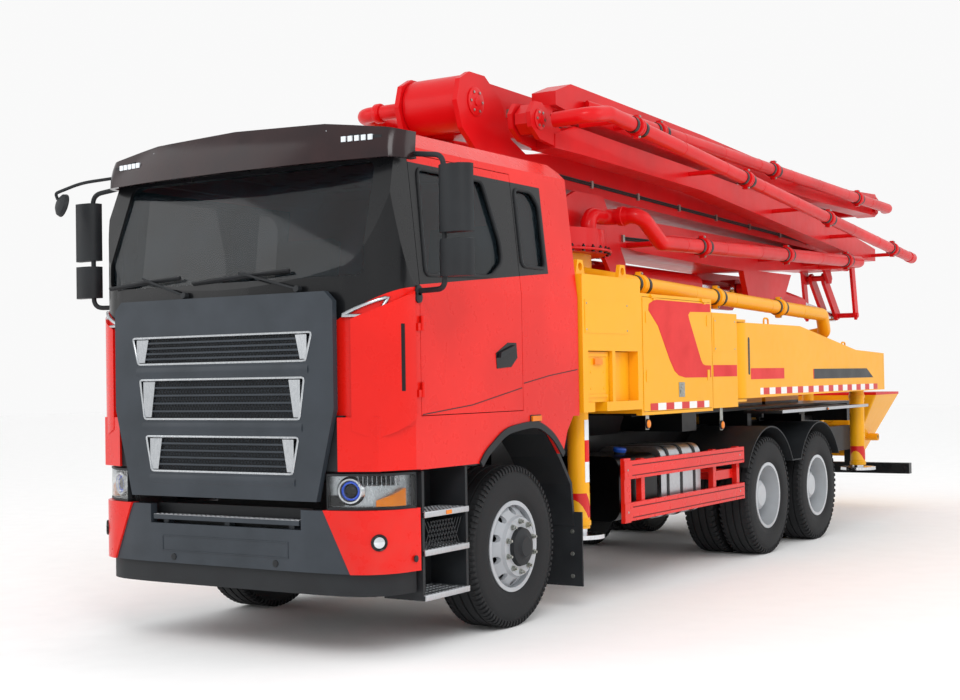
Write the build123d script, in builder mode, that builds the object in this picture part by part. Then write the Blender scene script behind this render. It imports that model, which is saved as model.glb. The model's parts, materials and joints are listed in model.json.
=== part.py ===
"""Concrete pump truck with a five-section folding boom, drawn parked with the boom folded.

Millimetres, +Z up. The origin is on the ground below the middle of the vehicle, its nose
points along -Y and its left side is +X. Stations along the truck are distances behind the
front axle, turned to Y by at().
"""
import os
from math import cos, hypot, radians, sin, tan

from build123d import *

os.makedirs("parts", exist_ok=True)

# ---------------------------------------------------------------- driving dimensions
FRONT_AXLE_Y = -4347.5          # puts the origin below the middle of the whole vehicle
WHEELBASE = 4505.0              # front axle to the first rear axle
TANDEM = 1350.0                 # between the two rear axles
HALF_WIDTH = 1250.0             # half of the bodywork's width
SEAT = 0.3                      # gap left where one piece sits on another
CLEAR = 6.0                     # running gap between pieces that move past each other

TYRE_RADIUS = 540.0
TYRE_WIDTH = 300.0
BEAD_RADIUS = 290.0
RIM_WALL = 14.0
FRONT_TYRE_X = 1020.0
TWIN_OUTER_X = 1075.0
TWIN_INNER_X = 735.0
HUB_RADIUS = 62.0               # spindle that the hubs turn on

RAIL_X = 430.0                  # outer face of the chassis rails
RAIL_BOTTOM = 720.0
RAIL_TOP = 1020.0
RAIL_FLANGE = 80.0
RAIL_WALL = 10.0
RAIL_FRONT = -1150.0
RAIL_REAR = 9430.0

KINGPIN_X = 845.0
KINGPIN_RADIUS = 28.0
AXLE_Z = TYRE_RADIUS

CAB_FRONT = -1560.0
CAB_REAR = 820.0
CAB_FLOOR = 1390.0              # underside of the cab floor
CAB_BELT = 2290.0               # lower edge of the side windows
CAB_ROOF = 3200.0
CAB_WALL = 55.0
CAB_TUMBLE = 90.0               # how far the sides lean in at the roof
SCREEN_LEAN = 300.0             # how far the screen leans back to the roof
GLASS = 10.0
DOOR_FRONT = -1165.0
DOOR_REAR = 30.0
DOOR_TOP = CAB_ROOF - 160.0
ROOF_JOINT = CAB_ROOF - 165.0    # the roof pressing sits on the shell here

BOX_FRONT = 850.0               # outrigger box across the truck behind the cab
BOX_REAR = 1800.0
BOX_BOTTOM = 1410.0
BOX_TOP = 2410.0
BEAM_SIZE = 370.0               # square section of the sliding outrigger beams
BEAM_BOTTOM = 1480.0
FRONT_BEAM_Y = {"left": 1120.0, "right": 1550.0}

LOCKER_FRONT = 1820.0
LOCKER_REAR = 3190.0
LOCKER_BOTTOM = 1360.0
LOCKER_TOP = 2310.0
LOCKER_INNER_X = 700.0
LOCKER_WALL = 25.0

FRONT_JACK_X = HALF_WIDTH - 200.0
JACK_TUBE = 80.0
JACK_BORE = 60.5
JACK_LEG = 60.0
PAD = 190.0

ARM_HINGE_X = HALF_WIDTH - 170.0
ARM_HINGE_Y = 3950.0
ARM_RADIUS = 165.0
ARM_BOTTOM = 1450.0
ARM_TOP = 2130.0
ARM_REAR = 8060.0
ARM_JACK_Y = 7560.0

SLEW_Y = 2300.0
SLEW_Z = 2690.0
DRUM_RADIUS = 620.0
DRUM_TOP = 2890.0

# pivots of the boom, as (station, height)
PIVOT_1 = (2750.0, 3030.0)      # turret to boom 1
PIVOT_2 = (9750.0, 3120.0)      # boom 1 to boom 2, at the rear
PIVOT_3 = (980.0, 3780.0)       # boom 2 to boom 3, over the cab
PIVOT_4 = (9600.0, 3750.0)      # boom 3 to boom 4, at the rear
PIVOT_5 = (1250.0, 3640.0)      # boom 4 to boom 5, at the front
BOOM_PIN = 60.0
PIPE_RADIUS = 68.0

BOOM_1_HALF = 300.0
BOOM_2_HALF = 248.0
BOOM_3_HALF = 200.0
BOOM_PLATE = 40.0               # thickness of the forked ends
SIDE_BOOM_X = (485.0, 700.0)    # booms 4 and 5, carried on the left side
BOOM_1_PIPE_X = 800.0
SWIVEL_X = 640.0                # joint between the turret's pipe and boom 1's
BOOM_4_PIPE_X = 850.0
BOOM_5_PIPE_X = 1080.0

LIFT_BASE = (3250.0, 2610.0)    # lift cylinder on the turret
LIFT_EYE = (6600.0, 2600.0)     # lift cylinder under boom 1
LIFT_RADIUS = 115.0
FOLD_BASE = (7400.0, 2650.0)    # fold cylinder under boom 1
ROCKER_PIVOT = (9450.0, 2860.0)
ROCKER_EYE = (9950.0, 2400.0)
LINK_EYE = (9760.0, 3335.0)
FOLD_RADIUS = 85.0

HOPPER_Y = 9815.0
HOPPER_BOTTOM = 620.0
HOPPER_TOP = 1385.0
HOPPER_WALL = 15.0
HOPPER_LOW = (700.0, 480.0)     # across and along at the bottom
HOPPER_HIGH = (1500.0, 960.0)   # across and along at the top
HOPPER_CORNER = 25.0
GRATE_HINGE = (HOPPER_Y - 490.0, HOPPER_TOP + 20.0)
GRATE_HINGE_X = 520.0
AGITATOR_Z = 850.0
AGITATOR_RADIUS = 200.0

REAR_AXLES = (WHEELBASE, WHEELBASE + TANDEM)
SIDES = (("left", 1), ("right", -1))


# ---------------------------------------------------------------- helpers
def at(station):
    """Y of a station given as a distance behind the front axle."""
    return FRONT_AXLE_Y + station


def point(x, place):
    """Point at x whose station and height are the pair place."""
    return (x, at(place[0]), place[1])


def spread(x, sign):
    """The pair of X values on one side of the truck, smaller one first."""
    return tuple(sorted((sign * x[0], sign * x[1])))


def block(x, y, z, mode=Mode.ADD):
    """Box between two X values, two stations and two heights."""
    middle = ((x[0] + x[1]) / 2, at((y[0] + y[1]) / 2), (z[0] + z[1]) / 2)
    with Locations(middle):
        Box(abs(x[1] - x[0]), abs(y[1] - y[0]), abs(z[1] - z[0]), mode=mode)


def side_form(outline, x, radius=0, mode=Mode.ADD):
    """Outline of stations and heights, as thick as the span x, with rounded corners."""
    with BuildSketch(Plane.YZ.offset(x[0])) as face:
        with BuildLine():
            Polyline(*[(at(station), height) for station, height in outline], close=True)
        make_face()
        if radius:
            fillet(face.vertices(), radius)
    extrude(face.sketch, amount=x[1] - x[0], mode=mode)


def plan_form(outline, z, radius=0, mode=Mode.ADD):
    """Outline of X values and stations, as high as the span z."""
    with BuildSketch(Plane.XY.offset(z[0])) as face:
        with BuildLine():
            Polyline(*[(x, at(station)) for x, station in outline], close=True)
        make_face()
        if radius:
            fillet(face.vertices(), radius)
    extrude(face.sketch, amount=z[1] - z[0], mode=mode)


def end_form(outline, y, radius=0, mode=Mode.ADD):
    """Outline of X values and heights, as long as the span of stations y."""
    with BuildSketch(Plane.XZ.offset(-at(y[1]))) as face:
        with BuildLine():
            Polyline(*outline, close=True)
        make_face()
        if radius:
            fillet(face.vertices(), radius)
    extrude(face.sketch, amount=y[1] - y[0], mode=mode)


def rod(start, end, radius, mode=Mode.ADD):
    """Round bar between two points."""
    line = Vector(*end) - Vector(*start)
    with BuildSketch(Plane(origin=start, z_dir=line)) as disc:
        Circle(radius)
    extrude(disc.sketch, amount=line.length, mode=mode)


def cross_rod(place, x, radius, mode=Mode.ADD):
    """Round bar across the truck at a station and height."""
    rod(point(x[0], place), point(x[1], place), radius, mode)


def pipe(points, radius, bend):
    """Round pipe through points, with equal bends at the corners between them."""
    corners = [Vector(*place) for place in points]
    start = corners[0]
    for before, corner, after in zip(corners, corners[1:], corners[2:]):
        entry = (corner - before).normalized()
        leave = (after - corner).normalized()
        turn = entry.get_angle(leave)
        reach = bend * tan(radians(turn / 2))
        rod(start, corner - entry * reach, radius)
        normal = entry.cross(leave).normalized()
        centre = corner - entry * reach + normal.cross(entry) * bend
        with BuildSketch(Plane(origin=corner - entry * reach, z_dir=entry)) as ring:
            Circle(radius)
        revolve(ring.sketch, axis=Axis(centre, normal), revolution_arc=turn)
        start = corner + leave * reach
    rod(start, corners[-1], radius)


def save(builder, label):
    """Label a finished piece and write it."""
    builder.part.label = label
    export_step(builder.part, "parts/" + label + ".step")


def between(start, end, share):
    """Station and height at a share of the way between two places."""
    return tuple(a + (b - a) * share for a, b in zip(start, end))


# ---------------------------------------------------------------- chassis
CROSS_STATIONS = (-1020, 760, 1600, 2700, 3800, 5181, 6600, 7800, 8800, 9300)
SPRING_X = (345.0, 435.0)
SPRING_TOP = RAIL_BOTTOM - SEAT
HANGER = 60.0
CAB_MOUNTS = (-1040.0, 680.0)

with BuildPart() as chassis_frame:
    for side, sign in SIDES:
        web = sign * RAIL_X
        inner = sign * (RAIL_X - RAIL_WALL)
        lip = sign * (RAIL_X - RAIL_FLANGE)
        end_form(
            [(web, RAIL_BOTTOM), (lip, RAIL_BOTTOM), (lip, RAIL_BOTTOM + RAIL_WALL),
             (inner, RAIL_BOTTOM + RAIL_WALL), (inner, RAIL_TOP - RAIL_WALL),
             (lip, RAIL_TOP - RAIL_WALL), (lip, RAIL_TOP), (web, RAIL_TOP)],
            (RAIL_FRONT, RAIL_REAR))
        for station in CAB_MOUNTS:
            block(spread((RAIL_X - RAIL_FLANGE, RAIL_X), sign), (station - 45, station + 45), (RAIL_TOP, CAB_FLOOR - SEAT))
    for station in CROSS_STATIONS:
        cross_rod((station, (RAIL_BOTTOM + RAIL_TOP) / 2), (-RAIL_X + RAIL_WALL, RAIL_X - RAIL_WALL), 45)
    block((-RAIL_X, RAIL_X), (RAIL_FRONT, RAIL_FRONT + 80), (RAIL_BOTTOM, RAIL_TOP))
save(chassis_frame, "chassis_frame")

ENGINE_HALF = 290.0
with BuildPart() as engine_block:
    block((-ENGINE_HALF, ENGINE_HALF), (-820, 560), (640, 1300))
    for station in (-600, 350):
        reach = RAIL_X - RAIL_FLANGE - SEAT
        block((-reach, reach), (station - 60, station + 60), (RAIL_TOP - 90, RAIL_TOP))
save(engine_block, "engine_block")

# beam axle with its kingpin eyes, and two driven axles, each on leaf springs
BEAM_Z = (430.0, 520.0)
LEAF_HALF = 780.0
with BuildPart() as axles:
    front_eye = KINGPIN_X
    end_form([(-front_eye, 490), (-front_eye + 80, 490), (-620, BEAM_Z[0] - 40), (620, BEAM_Z[0] - 40),
              (front_eye - 80, 490), (front_eye, 490), (front_eye, 590), (560, BEAM_Z[1]), (-560, BEAM_Z[1]),
              (-front_eye, 590)], (-55, 55))
    for side, sign in SIDES:
        rod((sign * front_eye, at(0), 490), (sign * front_eye, at(0), 590), 58)
        rod((sign * front_eye, at(0), 480), (sign * front_eye, at(0), 600), KINGPIN_RADIUS + 0.3,
            Mode.SUBTRACT)
        spring = spread(SPRING_X, sign)
        side_form([(-LEAF_HALF - HANGER, SPRING_TOP), (-LEAF_HALF - HANGER, SPRING_TOP - 130),
                   (-500, SPRING_TOP - 150), (0, BEAM_Z[1] - 2), (500, SPRING_TOP - 150),
                   (LEAF_HALF + HANGER, SPRING_TOP - 130), (LEAF_HALF + HANGER, SPRING_TOP),
                   (LEAF_HALF - HANGER, SPRING_TOP), (LEAF_HALF - HANGER, SPRING_TOP - 70),
                   (0, BEAM_Z[1] + 70), (-LEAF_HALF + HANGER, SPRING_TOP - 70),
                   (-LEAF_HALF + HANGER, SPRING_TOP)], spring)
        rear_middle = WHEELBASE + TANDEM / 2
        side_form([(REAR_AXLES[0] - 90, AXLE_Z + 60), (rear_middle - 150, SPRING_TOP - 20),
                   (rear_middle - 100, SPRING_TOP), (rear_middle + 100, SPRING_TOP),
                   (rear_middle + 150, SPRING_TOP - 20), (REAR_AXLES[1] + 90, AXLE_Z + 60),
                   (REAR_AXLES[1] + 90, AXLE_Z - 20), (rear_middle, SPRING_TOP - 130),
                   (REAR_AXLES[0] - 90, AXLE_Z - 20)], spring)
    for station in REAR_AXLES:
        cross_rod((station, AXLE_Z), (-1120, 1120), HUB_RADIUS - 0.3)
        cross_rod((station, AXLE_Z), (-560, 560), 95)
        cross_rod((station, AXLE_Z), (-130, 130), 205)
    rod((0, at(REAR_AXLES[0]) + 150, AXLE_Z), (0, at(REAR_AXLES[1]) - 150, AXLE_Z), 60)
    rod((0, at(900), 700), (0, at(REAR_AXLES[0]) - 150, AXLE_Z + 10), 60)
save(axles, "axles")

# ---------------------------------------------------------------- wheels
DISC = 24.0
HAND_HOLES = 10
HUB_BORE = HUB_RADIUS


def tyre(x, station):
    """Tyre about an axis across the truck, centred on x."""
    half = TYRE_WIDTH / 2
    with BuildSketch(Plane.XY.offset(AXLE_Z)) as section:
        with BuildLine():
            Polyline((x - half + 34, at(station) + BEAD_RADIUS), (x + half - 34, at(station) + BEAD_RADIUS))
            ThreePointArc((x + half - 34, at(station) + BEAD_RADIUS), (x + half, at(station) + 400),
                          (x + half - 10, at(station) + TYRE_RADIUS - 40))
            Polyline((x + half - 10, at(station) + TYRE_RADIUS - 40), (x + half - 32, at(station) + TYRE_RADIUS),
                     (x - half + 32, at(station) + TYRE_RADIUS), (x - half + 10, at(station) + TYRE_RADIUS - 40))
            ThreePointArc((x - half + 10, at(station) + TYRE_RADIUS - 40), (x - half, at(station) + 400),
                          (x - half + 34, at(station) + BEAD_RADIUS))
        make_face()
    revolve(section.sketch, axis=Axis((0, at(station), AXLE_Z), (1, 0, 0)), revolution_arc=360)


def turned(outline, sign, station):
    """Closed outline of (x, radius) turned about the wheel's axis on one side."""
    with BuildSketch(Plane.XY.offset(AXLE_Z)) as section:
        with BuildLine():
            Polyline(*[(sign * x, at(station) + radius) for x, radius in outline], close=True)
        make_face()
    revolve(section.sketch, axis=Axis((0, at(station), AXLE_Z), (1, 0, 0)), revolution_arc=360)


def barrel_outline(centre):
    """Rim barrel with two lips, from its inner lip to its outer one."""
    half = TYRE_WIDTH / 2 - 22
    lip = BEAD_RADIUS + 14
    seat = BEAD_RADIUS - SEAT
    return [(centre - half - 8, lip), (centre - half, lip), (centre - half, seat), (centre + half, seat),
            (centre + half, lip), (centre + half + 8, lip), (centre + half + 8, seat - RIM_WALL),
            (centre - half - 8, seat - RIM_WALL)]


def hand_holes(x, sign, station, radius, size):
    """Ring of round holes through a wheel disc."""
    for turn in range(HAND_HOLES):
        angle = radians(360 * (turn + 0.5) / HAND_HOLES)
        y = at(station) + radius * cos(angle)
        z = AXLE_Z + radius * sin(angle)
        rod((sign * x[0], y, z), (sign * x[1], y, z), size, Mode.SUBTRACT)


for side, sign in SIDES:
    with BuildPart() as tyre_front:
        tyre(sign * FRONT_TYRE_X, 0)
    save(tyre_front, "tyre_front_" + side)

    with BuildPart() as rim_front:
        turned(barrel_outline(FRONT_TYRE_X), sign, 0)
        turned([(1085, 277), (1110, 277), (1182, 205), (1206, 195), (1206, 130), (1232, 122), (1240, 90),
                (1240, 0), (1215, 0), (1215, HUB_BORE), (1100, HUB_BORE), (1100, 130),
                (1180, 135), (1180, 185), (1160, 190)], sign, 0)
        hand_holes((1060, 1240), sign, 0, 236, 26)
    save(rim_front, "rim_front_" + side)

    with BuildPart() as knuckle:
        block(spread((KINGPIN_X - 60, KINGPIN_X + 75), sign), (-60, 60), (600.5, 660))
        block(spread((KINGPIN_X - 45, KINGPIN_X + 75), sign), (-50, 50), (400, 489.5))
        rod((sign * KINGPIN_X, at(0), 440), (sign * KINGPIN_X, at(0), 640), KINGPIN_RADIUS)
        block(spread((KINGPIN_X + 62, KINGPIN_X + 95), sign), (-80, 80), (400, 680))
        cross_rod((0, AXLE_Z), spread((KINGPIN_X + 90, 1210), sign), HUB_RADIUS - 0.3)
        cross_rod((0, AXLE_Z), spread((KINGPIN_X + 90, 1090), sign), 205)
    save(knuckle, "knuckle_" + side)

    for number, station in enumerate(REAR_AXLES, start=1):
        with BuildPart() as tyres_rear:
            tyre(sign * TWIN_OUTER_X, station)
            tyre(sign * TWIN_INNER_X, station)
        save(tyres_rear, "tyres_rear_%d_%s" % (number, side))

        mating = (TWIN_OUTER_X + TWIN_INNER_X) / 2
        with BuildPart() as rims_rear:
            turned(barrel_outline(TWIN_OUTER_X), sign, station)
            turned(barrel_outline(TWIN_INNER_X), sign, station)
            turned([(mating, HUB_BORE), (mating, 205), (mating + 40, 277), (mating + 68, 277),
                    (mating + 68, 262), (mating + DISC + 10, 195), (mating + DISC, 150), (1125, 135),
                    (1150, 100), (1150, 0), (1125, 0), (1125, HUB_BORE)], sign, station)
            turned([(mating, HUB_BORE), (mating, 205), (mating - 40, 277), (mating - 68, 277),
                    (mating - 68, 262), (mating - DISC - 10, 195), (mating - DISC - 100, 190),
                    (mating - DISC - 100, HUB_BORE + 50), (mating - DISC, HUB_BORE)], sign, station)
            hand_holes((mating - 90, mating + 90), sign, station, 228, 24)
        save(rims_rear, "rims_rear_%d_%s" % (number, side))

# ---------------------------------------------------------------- cab
NOSE_X = HALF_WIDTH - 20.0


def cab_volume(inset):
    """Cab body as one solid, its faces moved in by inset."""
    side = NOSE_X - inset
    front = CAB_FRONT + inset
    rear = CAB_REAR - inset
    top = CAB_ROOF - inset
    bottom = CAB_FLOOR + (inset if inset else 0)
    with BuildPart(mode=Mode.PRIVATE) as body:
        with BuildSketch(Plane.XY.offset(bottom)) as plan:
            with BuildLine():
                Polyline((-side, at(front) + 370), (-side, at(rear)), (side, at(rear)), (side, at(front) + 370))
                ThreePointArc((side, at(front) + 370), (side - 100, at(front) + 130), (side - 330, at(front) + 35))
                ThreePointArc((side - 330, at(front) + 35), (0, at(front)), (-side + 330, at(front) + 35))
                ThreePointArc((-side + 330, at(front) + 35), (-side + 100, at(front) + 130),
                              (-side, at(front) + 370))
            make_face()
        extrude(plan.sketch, amount=top - bottom)
        # side profile: upright nose, leaning screen, rounded roof edges
        with BuildSketch(Plane.YZ.offset(-side - 10)) as profile:
            with BuildLine():
                Polyline((at(front) - 5, bottom - 5), (at(front) - 5, CAB_BELT - 60),
                         (at(front) + SCREEN_LEAN, top - 60), (at(front) + SCREEN_LEAN + 130, top),
                         (at(rear) - 60, top), (at(rear), top - 60), (at(rear), bottom - 5), close=True)
            make_face()
        extrude(profile.sketch, amount=2 * side + 20, mode=Mode.INTERSECT)
        with BuildSketch(Plane.XZ.offset(-at(rear) - 10)) as tumble:
            with BuildLine():
                Polyline((-side, bottom - 5), (-side, CAB_BELT - 60), (-side + CAB_TUMBLE, top - 110),
                         (-side + CAB_TUMBLE + 110, top), (side - CAB_TUMBLE - 110, top),
                         (side - CAB_TUMBLE, top - 110), (side, CAB_BELT - 60), (side, bottom - 5), close=True)
            make_face()
        extrude(tumble.sketch, amount=rear - front + 20, mode=Mode.INTERSECT)
    return body.part


cab_outer = cab_volume(0)
cab_inner = cab_volume(CAB_WALL)
glass_outer = cab_volume(18)
glass_inner = cab_volume(18 + GLASS)

WINDOWS = {
    # name: outline as (station, height), cut straight through the side walls
    "door": [(DOOR_FRONT + 70, CAB_BELT + 10), (DOOR_FRONT + 90, DOOR_TOP - 80), (DOOR_REAR - 360, DOOR_TOP - 80),
             (DOOR_REAR - 210, CAB_BELT + 270), (DOOR_REAR - 210, CAB_BELT + 140), (DOOR_REAR - 360, CAB_BELT + 40)],
    "quarter": [(DOOR_REAR + 45, CAB_BELT + 130), (DOOR_REAR + 45, DOOR_TOP - 90), (DOOR_REAR + 270, DOOR_TOP - 90),
                (DOOR_REAR + 360, DOOR_TOP - 180), (DOOR_REAR + 360, CAB_BELT + 130)],
}
SCREEN = [(170 - NOSE_X, CAB_BELT), (NOSE_X - 170, CAB_BELT), (NOSE_X - 215, CAB_ROOF - 210),
          (215 - NOSE_X, CAB_ROOF - 210)]
SCREEN_CUT = (CAB_FRONT - 10, CAB_FRONT + 480)
DOOR_GAP = 5.0
HINGE_X = NOSE_X + 15.0
HINGE_Y = DOOR_FRONT - 2.5
HINGE_LEVELS = (1560.0, 1960.0)
KNUCKLE_RADIUS = 12.0
KNUCKLE_LENGTH = 45.0


def hinge_half(sign, start, leaf, low):
    """Leaf and knuckle of one half of a door hinge, from low upwards."""
    high = low + KNUCKLE_LENGTH
    block(spread((NOSE_X - 5, HINGE_X), sign), (start, start + leaf), (low, high))
    rod((sign * HINGE_X, at(HINGE_Y), low), (sign * HINGE_X, at(HINGE_Y), high), KNUCKLE_RADIUS)


def door_region(grow):
    """Upright slab that holds one door, grown by the gap round it."""
    sill = CAB_FLOOR + CAB_WALL + DOOR_GAP - grow
    return [(DOOR_FRONT - grow, sill), (DOOR_FRONT - grow, DOOR_TOP + grow),
            (DOOR_REAR + grow, DOOR_TOP + grow), (DOOR_REAR + grow, sill)]


with BuildPart(mode=Mode.PRIVATE) as whole_cab:
    add(cab_outer)
    add(cab_inner, mode=Mode.SUBTRACT)
    end_form(SCREEN, SCREEN_CUT, 60, Mode.SUBTRACT)
    for side, sign in SIDES:
        reach = spread((HALF_WIDTH - 330, HALF_WIDTH + 60), sign)
        side_form(door_region(DOOR_GAP), reach, 0, Mode.SUBTRACT)
        side_form(WINDOWS["quarter"], reach, 40, Mode.SUBTRACT)
    # tunnel over the engine
    block((-420, 420), (CAB_FRONT + 200, CAB_REAR - 10), (CAB_FLOOR - 10, CAB_FLOOR + CAB_WALL + 10), Mode.SUBTRACT)
    block((-420, 420), (CAB_FRONT + 200, CAB_REAR - 10), (CAB_FLOOR + 100, CAB_FLOOR + 140))
    for side, sign in SIDES:
        block(spread((380, 420), sign), (CAB_FRONT + 200, CAB_REAR - 10), (CAB_FLOOR, CAB_FLOOR + 140))
    # corner panels from the belt down to the lamps
    for side, sign in SIDES:
        plan_form([(sign * (NOSE_X - 330), CAB_FRONT - 10), (sign * (NOSE_X - 100), CAB_FRONT + 80),
                   (sign * NOSE_X, CAB_FRONT + 330), (sign * NOSE_X, DOOR_FRONT - 20),
                   (sign * (NOSE_X - 80), DOOR_FRONT - 20), (sign * (NOSE_X - 330), CAB_FRONT + 90)],
                  (1130, CAB_FLOOR + 60))
        # wing below the door, cut out over the front wheel
        side_form([(DOOR_FRONT - 20, 1125), (-500, 1125), (-430, 1190), (-200, 1325), (220, 1362), (430, 1270),
                   (570, 1130), (640, 1290), (730, CAB_FLOOR + 4), (DOOR_FRONT - 20, CAB_FLOOR + 4)],
                  spread((NOSE_X - 50, NOSE_X), sign))
        for low in HINGE_LEVELS:
            hinge_half(sign, DOOR_FRONT - 45, 42, low)

with BuildPart() as cab_shell:
    add(whole_cab.part)
    split(bisect_by=Plane.XY.offset(ROOF_JOINT), keep=Keep.BOTTOM)
save(cab_shell, "cab_shell")

with BuildPart() as cab_roof:
    add(whole_cab.part)
    split(bisect_by=Plane.XY.offset(ROOF_JOINT), keep=Keep.TOP)
save(cab_roof, "cab_roof")

# what the windscreen, quarter windows and door windows are cut from
with BuildPart(mode=Mode.PRIVATE) as pane_shapes:
    end_form(SCREEN, SCREEN_CUT, 60)
    for side, sign in SIDES:
        side_form(WINDOWS["quarter"], spread((HALF_WIDTH - 330, HALF_WIDTH + 60), sign), 40)

with BuildPart() as cab_glass:
    add(glass_outer)
    add(glass_inner, mode=Mode.SUBTRACT)
    add(pane_shapes.part, mode=Mode.INTERSECT)
save(cab_glass, "cab_glass")

for side, sign in SIDES:
    reach = spread((HALF_WIDTH - 330, HALF_WIDTH + 60), sign)
    with BuildPart(mode=Mode.PRIVATE) as door_slab:
        side_form(door_region(0), reach)
    with BuildPart(mode=Mode.PRIVATE) as door_pane:
        side_form(WINDOWS["door"], reach, 40)
    with BuildPart() as door:
        add(cab_outer)
        add(cab_inner, mode=Mode.SUBTRACT)
        add(door_slab.part, mode=Mode.INTERSECT)
        side_form(WINDOWS["door"], reach, 40, Mode.SUBTRACT)
        for low in HINGE_LEVELS:
            hinge_half(sign, DOOR_FRONT, 40, low + KNUCKLE_LENGTH + SEAT)
    save(door, "door_" + side)

    with BuildPart() as door_glass:
        add(glass_outer)
        add(glass_inner, mode=Mode.SUBTRACT)
        add(door_pane.part, mode=Mode.INTERSECT)
    save(door_glass, "door_glass_" + side)

# dark nose panel with three intakes, set into the cab's front
GRILLE_TOP = 2200.0
GRILLE_BOTTOM = 950.0
PANEL_DEPTH = 40.0
PANEL_Y = (CAB_FRONT - PANEL_DEPTH, CAB_FRONT - SEAT)
INTAKES = (
    # bottom, top, half width at the bottom, half width at the top
    (1790.0, 1960.0, 690.0, 740.0),
    (1440.0, 1690.0, 640.0, 680.0),
    (1110.0, 1330.0, 580.0, 630.0),
)
with BuildPart() as grille_panel:
    end_form([(-760, GRILLE_BOTTOM), (760, GRILLE_BOTTOM), (900, 1500), (900, GRILLE_TOP - 60), (840, GRILLE_TOP),
              (-840, GRILLE_TOP), (-900, GRILLE_TOP - 60), (-900, 1500)], PANEL_Y)
    block((-700, 700), (CAB_FRONT, CAB_FRONT + 60), (GRILLE_BOTTOM + 20, CAB_FLOOR - 10))
    block((-560, 560), (CAB_FRONT - 2, CAB_FRONT + 10), (GRILLE_BOTTOM + 40, CAB_FLOOR - 20))
    for bottom, top, low, high in INTAKES:
        end_form([(-low, bottom), (low, bottom), (high, top), (-high, top)],
                 (PANEL_Y[0] - 5, PANEL_Y[0] + 25), 20, Mode.SUBTRACT)
    for bottom, top, low, high in INTAKES:
        for share in (0.2, 0.4, 0.6, 0.8):
            height = bottom + (top - bottom) * share
            block((-low - 10, low + 10), (PANEL_Y[0] + 8, PANEL_Y[0] + 26), (height - 6, height + 6))
save(grille_panel, "grille_panel")

# bumper: painted upper beam, black skirt and a step board in the middle
BUMPER_FRONT = CAB_FRONT - 30.0
with BuildPart() as front_bumper:
    plan_form([(-700, BUMPER_FRONT), (700, BUMPER_FRONT), (1000, CAB_FRONT + 30), (1180, CAB_FRONT + 170),
               (NOSE_X, DOOR_FRONT - 30), (NOSE_X - 60, DOOR_FRONT - 30), (1110, CAB_FRONT + 260),
               (960, CAB_FRONT + 110), (-960, CAB_FRONT + 110), (-1110, CAB_FRONT + 260),
               (-NOSE_X + 60, DOOR_FRONT - 30), (-NOSE_X, DOOR_FRONT - 30), (-1180, CAB_FRONT + 170),
               (-1000, CAB_FRONT + 30)], (400, 900))
    block((-620, 620), (BUMPER_FRONT - 5, CAB_FRONT + 40), (760, 905), Mode.SUBTRACT)
    block((-600, 600), (BUMPER_FRONT + 5, CAB_FRONT + 60), (800, 830))
    for side, sign in SIDES:
        block(spread((300, 420), sign), (CAB_FRONT + 100, RAIL_FRONT - SEAT), (RAIL_BOTTOM + 20, RAIL_TOP - 150))
save(front_bumper, "front_bumper")

LAMP_Z = (900.0 + SEAT, 1118.0)
with BuildPart() as headlamps:
    for side, sign in SIDES:
        plan_form([(sign * 820, CAB_FRONT - 20), (sign * 1000, CAB_FRONT + 40), (sign * 1175, CAB_FRONT + 175),
                   (sign * NOSE_X, DOOR_FRONT - 60), (sign * (NOSE_X - 80), DOOR_FRONT - 60),
                   (sign * 1080, CAB_FRONT + 200), (sign * 800, CAB_FRONT + 90)], LAMP_Z)
save(headlamps, "headlamps")

VISOR_Z = (CAB_ROOF - 200.0, CAB_ROOF + 50.0)
MIRROR_Y = -1250.0
MIRRORS = (
    # lowest and highest edge of each head
    (CAB_BELT + 240.0, CAB_BELT + 640.0),
    (CAB_BELT - 20.0, CAB_BELT + 200.0),
)
MIRROR_X = (NOSE_X + 200.0, NOSE_X + 420.0)
MIRROR_FOOT_Y = DOOR_FRONT - 23.0
MIRROR_FOOT_Z = CAB_BELT - 90.0
with BuildPart() as visor_and_mirrors:
    ends = DOOR_FRONT - 20
    front = [(NOSE_X + 6, ends), (NOSE_X - 50, CAB_FRONT + 230), (NOSE_X - 530, CAB_FRONT + 110)]
    back = [(NOSE_X - 80, CAB_FRONT + 238), (NOSE_X - 65, ends)]
    plan_form([(-x, y) for x, y in front] + [(0, CAB_FRONT + 75)] + front[::-1]
              + back[::-1] + [(-x, y) for x, y in back], VISOR_Z)
    for side, sign in SIDES:
        for low, high in MIRRORS:
            block(spread(MIRROR_X, sign), (MIRROR_Y - 45, MIRROR_Y + 45), (low, high))
        post = sign * (MIRROR_X[0] + 40)
        pipe([(sign * (NOSE_X - 30), at(MIRROR_Y + 60), CAB_ROOF - 170), (post, at(MIRROR_Y), CAB_ROOF - 210),
              (post, at(MIRROR_Y), MIRROR_FOOT_Z), (sign * (NOSE_X + 70), at(MIRROR_FOOT_Y), MIRROR_FOOT_Z),
              (sign * (NOSE_X + SEAT), at(MIRROR_FOOT_Y), MIRROR_FOOT_Z)], 18, 60)
save(visor_and_mirrors, "visor_and_mirrors")

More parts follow.
